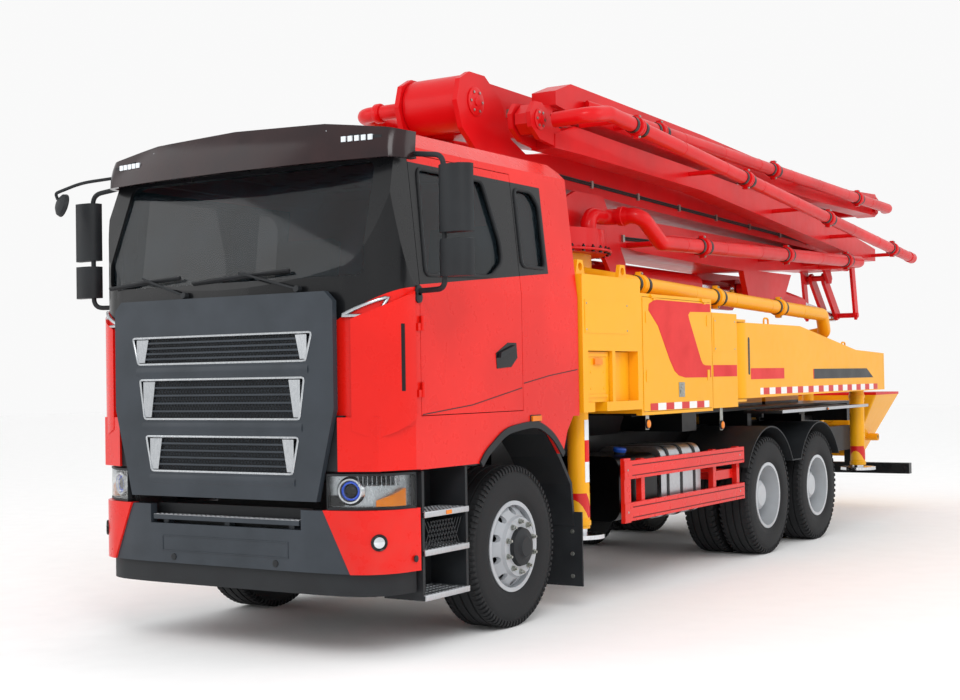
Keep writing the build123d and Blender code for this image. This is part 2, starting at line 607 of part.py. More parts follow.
SEATS_X = (440.0, NOSE_X - 270.0)
DASH_X = NOSE_X - 120.0
with BuildPart() as cab_interior:
    for side, sign in SIDES:
        block(spread(SEATS_X, sign), (-420, 130), (CAB_FLOOR + CAB_WALL + SEAT, 1780))
        block(spread(SEATS_X, sign), (-440, 80), (1770, 1900))
        side_form([(0, 1860), (90, 1860), (230, 2700), (120, 2720)], spread(SEATS_X, sign))
    plan_form([(-DASH_X, -1100), (-DASH_X, -1190), (250 - DASH_X, -1400), (DASH_X - 250, -1400), (DASH_X, -1190),
               (DASH_X, -1100)], (CAB_FLOOR + 300, CAB_BELT - 60))
    block((210 - DASH_X, DASH_X - 210), (-1380, -1200), (CAB_FLOOR + 140 + SEAT, CAB_FLOOR + 320))
    wheel = Plane(origin=(605, at(-900), 2180), z_dir=(0, 0.5, 0.87))
    with BuildSketch(wheel) as wheel_face:
        Circle(225)
        Circle(190, mode=Mode.SUBTRACT)
        Rectangle(390, 50)
    extrude(wheel_face.sketch, amount=30)
    rod((605, at(-1150), 1990), (605, at(-895), 2185), 40)
    block((210 - DASH_X, DASH_X - 210), (450, 740), (CAB_FLOOR + 140 + SEAT, 2050))
save(cab_interior, "cab_interior")

STEP_LEVELS = (350.0, 620.0, 850.0)
with BuildPart() as cab_steps:
    for side, sign in SIDES:
        for level in STEP_LEVELS:
            block(spread((NOSE_X - 300, NOSE_X), sign), (DOOR_FRONT, -665), (level - 15, level + 15))
        block(spread((NOSE_X - 300, NOSE_X - 280), sign), (DOOR_FRONT, -665), (335, 1115))
        block(spread((NOSE_X - 300, NOSE_X - 10), sign), (DOOR_FRONT, DOOR_FRONT + 25), (335, 1115))
        block(spread((NOSE_X - 300, NOSE_X - 10), sign), (-685, -660), (335, 1115))
        block(spread((RAIL_X + SEAT, NOSE_X - 290), sign), (-1010, -940), (800, 870))
        # wheel arch over the front tyre and the flap behind it
        side_form([(-655, 1110), (-480, 1110), (-320, 1260), (-100, 1330), (220, 1345), (420, 1270), (600, 1100),
                   (760, 900), (800, 600), (825, 600), (785, 910), (620, 1125), (435, 1298), (228, 1371),
                   (-105, 1356), (-332, 1286), (-490, 1130), (-655, 1130)], spread((780, NOSE_X - 52), sign))
        block(spread((850, HALF_WIDTH - 10), sign), (808, 823), (170, 700))
        block(spread((RAIL_X + SEAT, RAIL_X + 30), sign), (180, 240), (RAIL_TOP - 80, 1145))
        block(spread((RAIL_X + SEAT, 820), sign), (180, 240), (1110, 1145))
        block(spread((780, 820), sign), (180, 240), (1110, 1362))
save(cab_steps, "cab_steps")

# ---------------------------------------------------------------- body behind the cab
ARM_PLATE = 22.0
LUG_HOLE = 30.0
LUG_X = (HALF_WIDTH - 100.0, HALF_WIDTH - 70.0)
SUBFRAME_X = (330.0, 430.0)
SUBFRAME_TOP = 1180.0
DECK_Z = (1320.0, 1345.0)
with BuildPart() as superstructure:
    block((-HALF_WIDTH, HALF_WIDTH), (BOX_FRONT, BOX_REAR), (BOX_BOTTOM, BOX_TOP))
    for (side, sign), end in zip(SIDES, (1, -1)):
        station = FRONT_BEAM_Y[side]
        half = BEAM_SIZE / 2 + CLEAR
        block(spread((HALF_WIDTH - 60 - 2 * HALF_WIDTH, HALF_WIDTH + 5), end), (station - half, station + half),
              (BEAM_BOTTOM - SEAT, BEAM_BOTTOM + BEAM_SIZE + CLEAR), Mode.SUBTRACT)
        block(spread((FRONT_JACK_X - JACK_TUBE - 15, HALF_WIDTH + 5), end), (station - JACK_TUBE - 15, station + JACK_TUBE + 15),
              (BOX_BOTTOM - 5, BEAM_BOTTOM), Mode.SUBTRACT)
    # subframe and pedestal
    for side, sign in SIDES:
        block(spread(SUBFRAME_X, sign), (900, 8200), (RAIL_TOP + SEAT, SUBFRAME_TOP))
        block(spread((200, 500), sign), (BOX_FRONT + 60, BOX_REAR), (SUBFRAME_TOP - 5, BOX_BOTTOM + 5))
    end_form([(-500, SUBFRAME_TOP - 5), (500, SUBFRAME_TOP - 5), (640, 1500), (640, BOX_TOP), (-640, BOX_TOP),
              (-640, 1500)], (BOX_REAR - 5, 2850))
    with Locations((0, at(SLEW_Y), (BOX_TOP + SLEW_Z) / 2)):
        Cylinder(500, SLEW_Z - BOX_TOP)
    # lifting lugs
    for side, sign in SIDES:
        for station in (960, 1640):
            side_form([(station - 70, BOX_TOP), (station - 40, BOX_TOP + 110), (station + 40, BOX_TOP + 110),
                       (station + 70, BOX_TOP)], spread(LUG_X, sign))
            cross_rod((station, BOX_TOP + 60), spread((LUG_X[0] - 10, LUG_X[1] + 10), sign), LUG_HOLE, Mode.SUBTRACT)
        # hinge housing and fork plates of the rear arms
        block(spread((840, HALF_WIDTH - 10), sign), (LOCKER_REAR + 10, 3750), (1380, 2200))
        for low in (ARM_BOTTOM - ARM_PLATE - CLEAR, ARM_TOP + CLEAR):
            block(spread((ARM_HINGE_X - 150, ARM_HINGE_X + 150), sign), (3740, ARM_HINGE_Y), (low, low + ARM_PLATE))
            with Locations((sign * ARM_HINGE_X, at(ARM_HINGE_Y), low + ARM_PLATE / 2)):
                Cylinder(150, ARM_PLATE)
        with Locations((sign * ARM_HINGE_X, at(ARM_HINGE_Y), (ARM_BOTTOM + ARM_TOP) / 2)):
            Cylinder(55, ARM_TOP - ARM_BOTTOM + 40)
        # cross beams that carry the hinge housing and the deck
        block(spread((300, 900), sign), (3300, 3600), (SUBFRAME_TOP - 5, 1700))
        for station in (5000, 6500, 8000):
            block(spread((SUBFRAME_X[0], 840), sign), (station - 50, station + 50), (SUBFRAME_TOP - 60, DECK_Z[0] + 5))
    block((-640, 640), (2840, 3800), (DECK_Z[0] - 5, 1900))
    block((-850, 850), (3590, 8150), DECK_Z)
    block((-620, 620), (4300, 5900), (DECK_Z[1] - 5, 1900))
    block((-500, 500), (6300, 7300), (DECK_Z[1] - 5, 1800))
save(superstructure, "superstructure")

STORAGE_GAP = 4.0
STORAGE_HINGE = (HALF_WIDTH + 3.0, LOCKER_TOP - LOCKER_WALL - 1.0)
STORAGE_HINGE_STATIONS = (1990.0, 2970.0)


def locker_hinge(start, low):
    """Leaf and knuckle of one half of a locker hinge."""
    x, z = STORAGE_HINGE
    block((HALF_WIDTH - 12, x), (start, start + 40), (low, low + 20))
    rod((x, at(start), z), (x, at(start + 40), z), 7)


with BuildPart() as storage_boxes:
    for side, sign in SIDES:
        block(spread((LOCKER_INNER_X, HALF_WIDTH - 10), sign), (LOCKER_FRONT, LOCKER_REAR), (LOCKER_BOTTOM, LOCKER_TOP))
    block((LOCKER_INNER_X + LOCKER_WALL, HALF_WIDTH + 10), (LOCKER_FRONT + LOCKER_WALL, LOCKER_REAR - LOCKER_WALL),
          (LOCKER_BOTTOM + LOCKER_WALL, LOCKER_TOP - LOCKER_WALL), Mode.SUBTRACT)
    for side, sign in SIDES:
        block(spread((640 + SEAT, LOCKER_INNER_X + 5), sign), (LOCKER_FRONT + 200, 2800), (1500, 1600))
    for station in STORAGE_HINGE_STATIONS:
        locker_hinge(station, STORAGE_HINGE[1] + 2)
save(storage_boxes, "storage_boxes")

with BuildPart() as storage_door:
    block((HALF_WIDTH - 32, HALF_WIDTH - 6), (LOCKER_FRONT + LOCKER_WALL + STORAGE_GAP, LOCKER_REAR - LOCKER_WALL - STORAGE_GAP),
          (LOCKER_BOTTOM + LOCKER_WALL + STORAGE_GAP, LOCKER_TOP - LOCKER_WALL - STORAGE_GAP))
    for station in STORAGE_HINGE_STATIONS:
        locker_hinge(station + 40 + SEAT, STORAGE_HINGE[1] - 22)
save(storage_door, "storage_door")

TANKS = (
    # name, sign, front, rear, half height, centre height
    ("fuel", 1, 2370.0, 3150.0, 290.0, 800.0),
    ("air", 1, 1620.0, 2290.0, 250.0, 800.0),
    ("water", -1, 1800.0, 3150.0, 290.0, 800.0),
)
with BuildPart() as side_tanks:
    for name, sign, front, rear, half, height in TANKS:
        end_form([(sign * 560, height - half), (sign * 1130, height - half), (sign * 1130, height + half),
                  (sign * 560, height + half)], (front, rear), 90)
        block(spread((RAIL_X + SEAT, 570), sign), (front + 60, front + 130), (height - 60, height + 60))
        block(spread((RAIL_X + SEAT, 570), sign), (rear - 130, rear - 60), (height - 60, height + 60))
save(side_tanks, "side_tanks")

GUARD_RAILS = ((560.0, 700.0), (880.0, 1020.0))
GUARD_FRONT = {"left": 1530.0, "right": 1790.0}
GUARD_REAR = 3900.0
UNDERRUN_Y = (9300.0, 9400.0)   # bar across the rear, hung from the rails
UNDERRUN_Z = (430.0, 560.0)
with BuildPart() as side_guards:
    block((-1150, 1150), UNDERRUN_Y, UNDERRUN_Z)
    for side, sign in SIDES:
        block(spread((RAIL_X - RAIL_FLANGE, RAIL_X), sign), UNDERRUN_Y, (UNDERRUN_Z[1], RAIL_BOTTOM - SEAT))
    for side, sign in SIDES:
        for low, high in GUARD_RAILS:
            block(spread((1195, 1225), sign), (GUARD_FRONT[side], GUARD_REAR), (low, high))
        block(spread((1190, 1220), sign), (GUARD_FRONT[side], GUARD_FRONT[side] + 110), (550, 1040))
        for station in (1900, 3300, 3820):
            block(spread((1150, 1196), sign), (station - 30, station + 30), (555, 1025))
        block(spread((RAIL_X + SEAT, 1160), sign), (3350, 3400), (760, 820))
        block(spread((RAIL_X + SEAT, 1160), sign), (3790, 3850), (760, 820))
        block(spread((1150, 1160), sign), (3340, 3860), (750, 830))
save(side_guards, "side_guards")

FENDER_RADIUS = TYRE_RADIUS + 90.0
with BuildPart() as rear_fenders:
    for side, sign in SIDES:
        x = spread((560, HALF_WIDTH), sign)
        middle = sum(REAR_AXLES) / 2
        for station in REAR_AXLES:
            with BuildSketch(Plane.YZ.offset(x[0])) as arc:
                with Locations((at(station), AXLE_Z)):
                    Circle(FENDER_RADIUS + 12)
                    Circle(FENDER_RADIUS, mode=Mode.SUBTRACT)
                with Locations((at(middle), AXLE_Z - 210)):
                    Rectangle(4000, 1000, mode=Mode.SUBTRACT)
            extrude(arc.sketch, amount=x[1] - x[0])
        block(x, (middle - 127, middle + 127), (830, 842))
        block(spread((RAIL_X + SEAT, 600), sign), (middle - 40, middle + 40), (829, 843))
        block(spread((860, HALF_WIDTH), sign), (4800, 7430), (1290, 1315))
        for station in (5200, 6250, 7300):
            block(spread((RAIL_X + SEAT, 900), sign), (station - 25, station + 25), (1270 if station > 7000 else 1240, 1295))
            block(spread((RAIL_X + SEAT, RAIL_X + 25), sign), (station - 25, station + 25), (RAIL_TOP - 60, 1294))
save(rear_fenders, "rear_fenders")

PUMP_X = 165.0
PUMP_Z = 1175.0
with BuildPart() as concrete_pump:
    for side, sign in SIDES:
        rod((sign * PUMP_X, at(7200), PUMP_Z), (sign * PUMP_X, at(9355), PUMP_Z), 125)
        rod((sign * PUMP_X, at(5250), PUMP_Z), (sign * PUMP_X, at(6960), PUMP_Z), 75)
    block((-300, 300), (6950, 7210), (1030, 1300))
    for station in (5300, 8300, 9300):
        half = RAIL_X if station > 8200 else SUBFRAME_X[0] - SEAT
        block((-half, half), (station - 40, station + 40), (RAIL_TOP + SEAT, 1120))
    # delivery line along the top of the lockers to the turret
    pipe([(600, at(2060), 2492), (1000, at(1960), 2415), (1000, at(6700), 2290), (940, at(6950), 2100),
          (620, at(7100), 2060), (300, at(8300), 1980), (PUMP_X, at(8550), 1800), (PUMP_X, at(8550), PUMP_Z + 100)],
         PIPE_RADIUS, 105)
    block((975, 1025), (3430, 3480), (2200 + SEAT, 2330))
save(concrete_pump, "concrete_pump")

# ---------------------------------------------------------------- hopper
def funnel(inset, mode):
    """Hopper's tapered body, its faces moved in by inset and open at the top."""
    with BuildSketch(Plane.XY.offset(HOPPER_BOTTOM + inset)) as low:
        with Locations((0, at(HOPPER_Y))):
            RectangleRounded(HOPPER_LOW[0] - 2 * inset, HOPPER_LOW[1] - 2 * inset, HOPPER_CORNER - inset)
    with BuildSketch(Plane.XY.offset(HOPPER_TOP + (1 if inset else 0))) as high:
        with Locations((0, at(HOPPER_Y))):
            RectangleRounded(HOPPER_HIGH[0] - 2 * inset, HOPPER_HIGH[1] - 2 * inset, HOPPER_CORNER - inset)
    loft([low.sketch.faces()[0], high.sketch.faces()[0]], mode=mode)


with BuildPart() as hopper:
    funnel(0, Mode.ADD)
    block((-560, 560), (RAIL_REAR + SEAT, RAIL_REAR + 25), (RAIL_BOTTOM - 60, 1040))
    for side, sign in SIDES:
        block(spread((300, 330), sign), (RAIL_REAR + 20, 9590), (RAIL_BOTTOM - 60, 960))
    cross_rod((HOPPER_Y, AGITATOR_Z), (-620, 620), 45)
    funnel(HOPPER_WALL, Mode.SUBTRACT)
    cross_rod((HOPPER_Y, AGITATOR_Z), (-630, 630), 30 + SEAT, Mode.SUBTRACT)
    for side, sign in SIDES:
        x = spread((GRATE_HINGE_X, GRATE_HINGE_X + 40), sign)
        block(x, (GRATE_HINGE[0] - 12, GRATE_HINGE[0] + 28), (HOPPER_TOP - 60, HOPPER_TOP - 1))
        block(x, (GRATE_HINGE[0] - 12, GRATE_HINGE[0] + 12), (HOPPER_TOP - 5, GRATE_HINGE[1]))
        cross_rod(GRATE_HINGE, x, 12)
save(hopper, "hopper")

with BuildPart() as agitator:
    cross_rod((HOPPER_Y, AGITATOR_Z), (-610, 610), 30)
    for number, x in enumerate((-300, -100, 100, 300)):
        angle = radians(90 * number + 20)
        tip = (x, at(HOPPER_Y) + AGITATOR_RADIUS * 0.9 * cos(angle), AGITATOR_Z + AGITATOR_RADIUS * 0.9 * sin(angle))
        rod((x, at(HOPPER_Y), AGITATOR_Z), tip, 18)
save(agitator, "agitator")

with BuildPart() as hopper_grate:
    block((-750, 750), (9345, 10290), (HOPPER_TOP + SEAT, HOPPER_TOP + 30))
    block((-715, 715), (9380, 10250), (HOPPER_TOP - 5, HOPPER_TOP + 40), Mode.SUBTRACT)
    for number in range(-6, 7):
        block((number * 105 - 6, number * 105 + 6), (9370, 10260), (HOPPER_TOP + 5, HOPPER_TOP + 28))
    for side, sign in SIDES:
        x = spread((GRATE_HINGE_X + 40 + SEAT, GRATE_HINGE_X + 80), sign)
        block(x, (GRATE_HINGE[0], 9350), (HOPPER_TOP + 12, HOPPER_TOP + 30))
        cross_rod(GRATE_HINGE, x, 12)
save(hopper_grate, "hopper_grate")

# ---------------------------------------------------------------- outriggers
FRONT_FOOT = 480.0
REAR_FOOT = 590.0
def jack_case(x, station, low, high):
    """Outer tube of a jack, bored for its leg up to high."""
    rod((x, at(station), low), (x, at(station), high), JACK_TUBE)
    rod((x, at(station), low - 5), (x, at(station), high), JACK_BORE, Mode.SUBTRACT)


def jack_leg(x, station, top, foot):
    """Leg with its round foot."""
    rod((x, at(station), foot + 30), (x, at(station), top), JACK_LEG)
    with BuildSketch(Plane.XY.offset(foot)) as pad:
        with Locations((x, at(station))):
            Circle(PAD)
    extrude(pad.sketch, amount=30)


for side, sign in SIDES:
    station = FRONT_BEAM_Y[side]
    half = BEAM_SIZE / 2
    with BuildPart() as front_beam:
        block(spread((-HALF_WIDTH + 80, HALF_WIDTH - 30), sign), (station - half, station + half),
              (BEAM_BOTTOM, BEAM_BOTTOM + BEAM_SIZE))
        jack_case(sign * FRONT_JACK_X, station, FRONT_FOOT + 70, BEAM_BOTTOM + BEAM_SIZE - 30)
    save(front_beam, "front_beam_" + side)
    with BuildPart() as front_jack:
        jack_leg(sign * FRONT_JACK_X, station, BEAM_BOTTOM + BEAM_SIZE - 45, FRONT_FOOT)
    save(front_jack, "front_jack_" + side)

    with BuildPart() as rear_arm:
        x = spread((ARM_HINGE_X - ARM_RADIUS, ARM_HINGE_X + ARM_RADIUS), sign)
        side_form([(ARM_HINGE_Y, ARM_BOTTOM), (ARM_REAR, ARM_BOTTOM + 20), (ARM_REAR, 1880), (7060, 1910), (5340, ARM_TOP),
                   (ARM_HINGE_Y, ARM_TOP)], x)
        with Locations((sign * ARM_HINGE_X, at(ARM_HINGE_Y), (ARM_BOTTOM + ARM_TOP) / 2)):
            Cylinder(ARM_RADIUS, ARM_TOP - ARM_BOTTOM)
            Cylinder(55 + SEAT, ARM_TOP - ARM_BOTTOM + 2, mode=Mode.SUBTRACT)
        jack_case(sign * ARM_HINGE_X, ARM_JACK_Y, REAR_FOOT + 70, 1850)
    save(rear_arm, "rear_arm_" + side)
    with BuildPart() as rear_jack:
        jack_leg(sign * ARM_HINGE_X, ARM_JACK_Y, 1835, REAR_FOOT)
    save(rear_jack, "rear_jack_" + side)

# ---------------------------------------------------------------- turret and boom
CHEEK_X = (BOOM_1_HALF + CLEAR, BOOM_1_HALF + CLEAR + BOOM_PLATE)
with BuildPart() as turret:
    with Locations((0, at(SLEW_Y), (SLEW_Z + SEAT + DRUM_TOP) / 2)):
        Cylinder(DRUM_RADIUS, DRUM_TOP - SLEW_Z - SEAT)
    for side, sign in SIDES:
        side_form([(1850, DRUM_TOP - 5), (2050, 3080), (2450, 3240), (2950, 3240), (3080, 3080), (3370, 2680),
                   (3370, 2560), (3290, 2500), (3150, 2510), (2930, DRUM_TOP - 150), (2900, DRUM_TOP - 5)],
                  spread(CHEEK_X, sign))
    block((-CHEEK_X[1], CHEEK_X[1]), (1880, 2250), (DRUM_TOP - 5, 2960))
    cross_rod(PIVOT_1, (-CHEEK_X[1] - 15, CHEEK_X[1] + 15), BOOM_PIN)
    for side, sign in SIDES:
        cross_rod(LIFT_BASE, spread((75 + CLEAR, CHEEK_X[0] + 5), sign), 65)
    cross_rod(LIFT_BASE, (-CHEEK_X[1] - 10, CHEEK_X[1] + 10), 45)
    # delivery pipe from the slewing ring up to the swivel on the main pivot
    pipe([(470, at(2440), DRUM_TOP - 5), (470, at(2440), PIVOT_1[1]), point(470, PIVOT_1), point(SWIVEL_X, PIVOT_1)],
         PIPE_RADIUS, 100)
    cross_rod(PIVOT_1, (SWIVEL_X - 35, SWIVEL_X), PIPE_RADIUS + 14)
save(turret, "turret")

with BuildPart() as boom_1:
    side_form([(2630, 3000), (2680, 2925), (2950, 2915), (3150, 2840), (4000, 2800), (6300, 2770), (9000, 2940),
               (9480, 2950), (9480, 3100), (3300, 3105), (2980, 3180), (2750, 3190), (2640, 3080)],
              (-BOOM_1_HALF, BOOM_1_HALF))
    cross_rod(PIVOT_1, (-BOOM_1_HALF - 1, BOOM_1_HALF + 1), BOOM_PIN + SEAT, Mode.SUBTRACT)
    for side, sign in SIDES:
        plate = spread((BOOM_1_HALF - BOOM_PLATE, BOOM_1_HALF), sign)
        side_form([(9300, 2960), (9720, 2952), (9860, 2985), (9918, 3090), (9895, 3210), (9790, 3288), (9680, 3280),
                   (9580, 3170), (9300, 3100)], plate)
        # belly bracket for the lift cylinder's eye
        side_form([(6250, 2790), (6420, 2440), (6560, 2400), (7250, 2400), (7500, 2560), (7700, 2800)],
                  spread((BOOM_1_HALF - 60, BOOM_1_HALF), sign))
        # lugs for the rocker
        side_form([(9250, 2960), (9400, 2790), (9500, 2790), (9540, 2860), (9470, 2960)], spread((130, 165), sign))
        cross_rod(FOLD_BASE, spread((60 + SEAT, BOOM_1_HALF - 55), sign), 60)
        cross_rod(LIFT_EYE, spread((90 + CLEAR, BOOM_1_HALF - 55), sign), 60)
    cross_rod(PIVOT_2, (-BOOM_1_HALF, BOOM_1_HALF), BOOM_PIN)
    cross_rod(ROCKER_PIVOT, (-165, 165), 35)
    # delivery line on the left side
    pipe([point(SWIVEL_X + SEAT, PIVOT_1), point(BOOM_1_PIPE_X, PIVOT_1), point(BOOM_1_PIPE_X, (3150, 2820)),
          point(BOOM_1_PIPE_X, (8700, 2980)), point(BOOM_1_HALF - 20, (8700, 2980))], PIPE_RADIUS, 100)
    cross_rod(PIVOT_1, (SWIVEL_X + SEAT, SWIVEL_X + 35), PIPE_RADIUS + 14)
    for station in (3500, 5000, 6700, 8100):
        cross_rod((station, 2850 + (station - 3400) * 0.02), (BOOM_1_HALF - 5, BOOM_1_PIPE_X), 25)
save(boom_1, "boom_1")

with BuildPart() as boom_2:
    side_form([(1420, 3300), (2500, 3262), (9600, 3130), (9600, 3380), (9000, 3420), (3500, 3600), (2500, 3560),
               (1420, 3440)], (-BOOM_2_HALF, BOOM_2_HALF))
    side_form([(9530, 3150), (9640, 3000), (9760, 2960), (9880, 3030), (9905, 3150), (9850, 3330), (9790, 3385),
               (9590, 3385)], (-BOOM_2_HALF, BOOM_2_HALF))
    cross_rod(PIVOT_2, (-BOOM_2_HALF - 1, BOOM_2_HALF + 1), BOOM_PIN + SEAT, Mode.SUBTRACT)
    cross_rod(LINK_EYE, (-BOOM_1_HALF, BOOM_1_HALF), 38)
    for side, sign in SIDES:
        side_form([(1440, 3290), (1000, 3400), (790, 3560), (720, 3760), (770, 3930), (900, 4000), (1120, 4000), (1350, 3850),
                   (1500, 3560), (1800, 3440), (1800, 3290)], spread((BOOM_2_HALF - 2, BOOM_2_HALF + BOOM_PLATE), sign))
    cross_rod(PIVOT_3, (-BOOM_2_HALF - BOOM_PLATE, BOOM_2_HALF + BOOM_PLATE), BOOM_PIN)
save(boom_2, "boom_2")

HEAD_HALF = BOOM_2_HALF - 2 - CLEAR
with BuildPart() as boom_3:
    side_form([(1100, 3570), (3000, 3680), (9000, 3560), (9450, 3600), (9750, 3650), (9750, 3830), (9600, 3890), (9000, 3800),
               (3000, 3965), (1100, 3990)], (-BOOM_3_HALF, BOOM_3_HALF))
    cross_rod(PIVOT_3, (-HEAD_HALF, HEAD_HALF), 215)
    cross_rod(PIVOT_3, (-HEAD_HALF - 1, HEAD_HALF + 1), BOOM_PIN + SEAT, Mode.SUBTRACT)
    cross_rod(PIVOT_4, (0, SIDE_BOOM_X[0] - CLEAR), 130)
    cross_rod(PIVOT_4, (0, SIDE_BOOM_X[1] + 20), BOOM_PIN)
save(boom_3, "boom_3")

with BuildPart() as boom_4:
    side_form([(1900, 3740), (4300, 3650), (7600, 3600), (9380, 3620), (9600, 3600), (9750, 3660), (9770, 3800), (9650, 3890),
               (7600, 3790), (4300, 3925), (1750, 3990), (1500, 3900), (1500, 3790)], SIDE_BOOM_X)
    side_form([(1550, 3800), (1350, 3770), (1230, 3760), (1140, 3680), (1140, 3600), (1220, 3530), (1330, 3540), (1400, 3640),
               (1560, 3760), (1700, 3790), (1700, 3850)], (540, 645))
    cross_rod(PIVOT_4, (SIDE_BOOM_X[0] - 1, SIDE_BOOM_X[1] + 1), BOOM_PIN + SEAT, Mode.SUBTRACT)
    cross_rod(PIVOT_5, (539, 646), BOOM_PIN - 15 + SEAT, Mode.SUBTRACT)
    pipe([point(BOOM_4_PIPE_X - 130, (1950, 3830)), point(BOOM_4_PIPE_X, (2150, 3780)), point(BOOM_4_PIPE_X, (9650, 3700)),
          point(BOOM_4_PIPE_X - 100, (9860, 3720))], PIPE_RADIUS - 8, 110)
    for station in (2500, 4700, 6900, 9000):
        cross_rod((station, 3740), (SIDE_BOOM_X[1] - 5, BOOM_4_PIPE_X), 22)
save(boom_4, "boom_4")

TIP_PIPE = ((1650.0, 3700.0), (9850.0, 3080.0))
TIP_COLLAR = 150.0              # thicker end that the hose clamp grips
with BuildPart() as boom_5:
    side_form([(1480, 3560), (1800, 3660), (4300, 3580), (7600, 3440), (9600, 3200), (9600, 3050), (9200, 3040), (4300, 3400),
               (1900, 3450), (1480, 3450)], SIDE_BOOM_X)
    for plate in ((490, 530), (655, 695)):
        side_form([(1600, 3450), (1250, 3490), (1130, 3570), (1110, 3680), (1180, 3770), (1290, 3775), (1400, 3700),
                   (1600, 3590)], plate)
    cross_rod(PIVOT_5, (490, 695), BOOM_PIN - 15)
    pipe([point(SIDE_BOOM_X[1] + 60, (1350, 3640)), point(BOOM_5_PIPE_X - 30, (1400, 3660)), point(BOOM_5_PIPE_X, (1650, 3700)),
          point(BOOM_5_PIPE_X, (9850, 3080))], PIPE_RADIUS - 8, 110)
    tip_length = hypot(TIP_PIPE[1][0] - TIP_PIPE[0][0], TIP_PIPE[1][1] - TIP_PIPE[0][1])
    rod(point(BOOM_5_PIPE_X, between(*TIP_PIPE, 1 - TIP_COLLAR / tip_length)), point(BOOM_5_PIPE_X, TIP_PIPE[1]),
        PIPE_RADIUS - 2)
    for station in (1900, 4000, 6100, 7900, 9450):
        share = (station - TIP_PIPE[0][0]) / (TIP_PIPE[1][0] - TIP_PIPE[0][0])
        cross_rod(between(*TIP_PIPE, share), (SIDE_BOOM_X[1] - 5, BOOM_5_PIPE_X), 22)
save(boom_5, "boom_5")

# ---------------------------------------------------------------- cylinders of the boom
with BuildPart() as lift_barrel:
    cross_rod(LIFT_BASE, (-75, 75), 85)
    rod(point(0, LIFT_BASE), point(0, between(LIFT_BASE, LIFT_EYE, 0.06)), 60)
    rod(point(0, between(LIFT_BASE, LIFT_EYE, 0.04)), point(0, between(LIFT_BASE, LIFT_EYE, 0.70)), LIFT_RADIUS)
    rod(point(0, between(LIFT_BASE, LIFT_EYE, 0.05)), point(0, between(LIFT_BASE, LIFT_EYE, 0.72)), 70 + SEAT, Mode.SUBTRACT)
    cross_rod(LIFT_BASE, (-76, 76), 45 + SEAT, Mode.SUBTRACT)
save(lift_barrel, "lift_barrel")
with BuildPart() as lift_rod:
    rod(point(0, between(LIFT_BASE, LIFT_EYE, 0.08)), point(0, LIFT_EYE), 70)
    cross_rod(LIFT_EYE, (-90, 90), 105)
save(lift_rod, "lift_rod")

with BuildPart() as fold_barrel:
    rod(point(0, FOLD_BASE), point(0, between(FOLD_BASE, ROCKER_EYE, 0.08)), 50)
    rod(point(0, between(FOLD_BASE, ROCKER_EYE, 0.06)), point(0, between(FOLD_BASE, ROCKER_EYE, 0.54)), FOLD_RADIUS)
    cross_rod(FOLD_BASE, (-60, 60), 80)
    rod(point(0, between(FOLD_BASE, ROCKER_EYE, 0.07)), point(0, between(FOLD_BASE, ROCKER_EYE, 0.56)), 48 + SEAT,
        Mode.SUBTRACT)
save(fold_barrel, "fold_barrel")
with BuildPart() as fold_rod:
    rod(point(0, between(FOLD_BASE, ROCKER_EYE, 0.49)), point(0, ROCKER_EYE), 48)
    cross_rod(ROCKER_EYE, (-50, 50), 70)
save(fold_rod, "fold_rod")

# rocker on boom 1 and the links from it to boom 2
with BuildPart() as fold_rocker:
    for side, sign in SIDES:
        side_form([(9390, 2880), (9420, 2800), (9900, 2340), (10010, 2370), (10000, 2450), (9520, 2900), (9450, 2925)],
                  spread((60, 100), sign))
        cross_rod(ROCKER_EYE, spread((60, 355), sign), 32)
    cross_rod(ROCKER_PIVOT, (-110, 110), 35 + SEAT, Mode.SUBTRACT)
save(fold_rocker, "fold_rocker")
with BuildPart() as fold_link:
    for side, sign in SIDES:
        x = spread((BOOM_1_HALF + CLEAR, BOOM_1_HALF + CLEAR + 35), sign)
        side_form([(9890, 2400), (9950, 2340), (10015, 2400), (9825, 3340), (9760, 3395), (9700, 3330)], x)
        cross_rod(ROCKER_EYE, (x[0] - 1, x[1] + 1), 32 + SEAT, Mode.SUBTRACT)
save(fold_link, "fold_link")
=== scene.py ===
"""Looks of a concrete pump truck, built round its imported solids.

Metres, +Z up, nose along -Y, left side along +X. Stations are distances behind the front axle.
"""

import json
import math

import bmesh
import bpy
from bpy.props import FloatProperty, FloatVectorProperty, IntProperty, PointerProperty
from mathutils import Matrix, Vector


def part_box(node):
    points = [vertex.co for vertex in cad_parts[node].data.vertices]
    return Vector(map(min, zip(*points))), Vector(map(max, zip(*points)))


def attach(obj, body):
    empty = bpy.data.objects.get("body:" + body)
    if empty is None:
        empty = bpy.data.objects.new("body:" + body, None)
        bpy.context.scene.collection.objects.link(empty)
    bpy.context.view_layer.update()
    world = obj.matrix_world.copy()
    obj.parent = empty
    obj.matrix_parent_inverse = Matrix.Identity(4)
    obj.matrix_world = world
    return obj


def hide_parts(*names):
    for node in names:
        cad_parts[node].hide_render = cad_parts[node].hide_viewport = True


bl_info = {
    "name": "Concrete pump truck",
    "version": (1, 0, 0),
    "blender": (4, 5, 0),
    "location": "View3D > Sidebar > Pump truck",
    "description": "Dresses the solids of a truck-mounted concrete pump",
    "category": "Object",
}

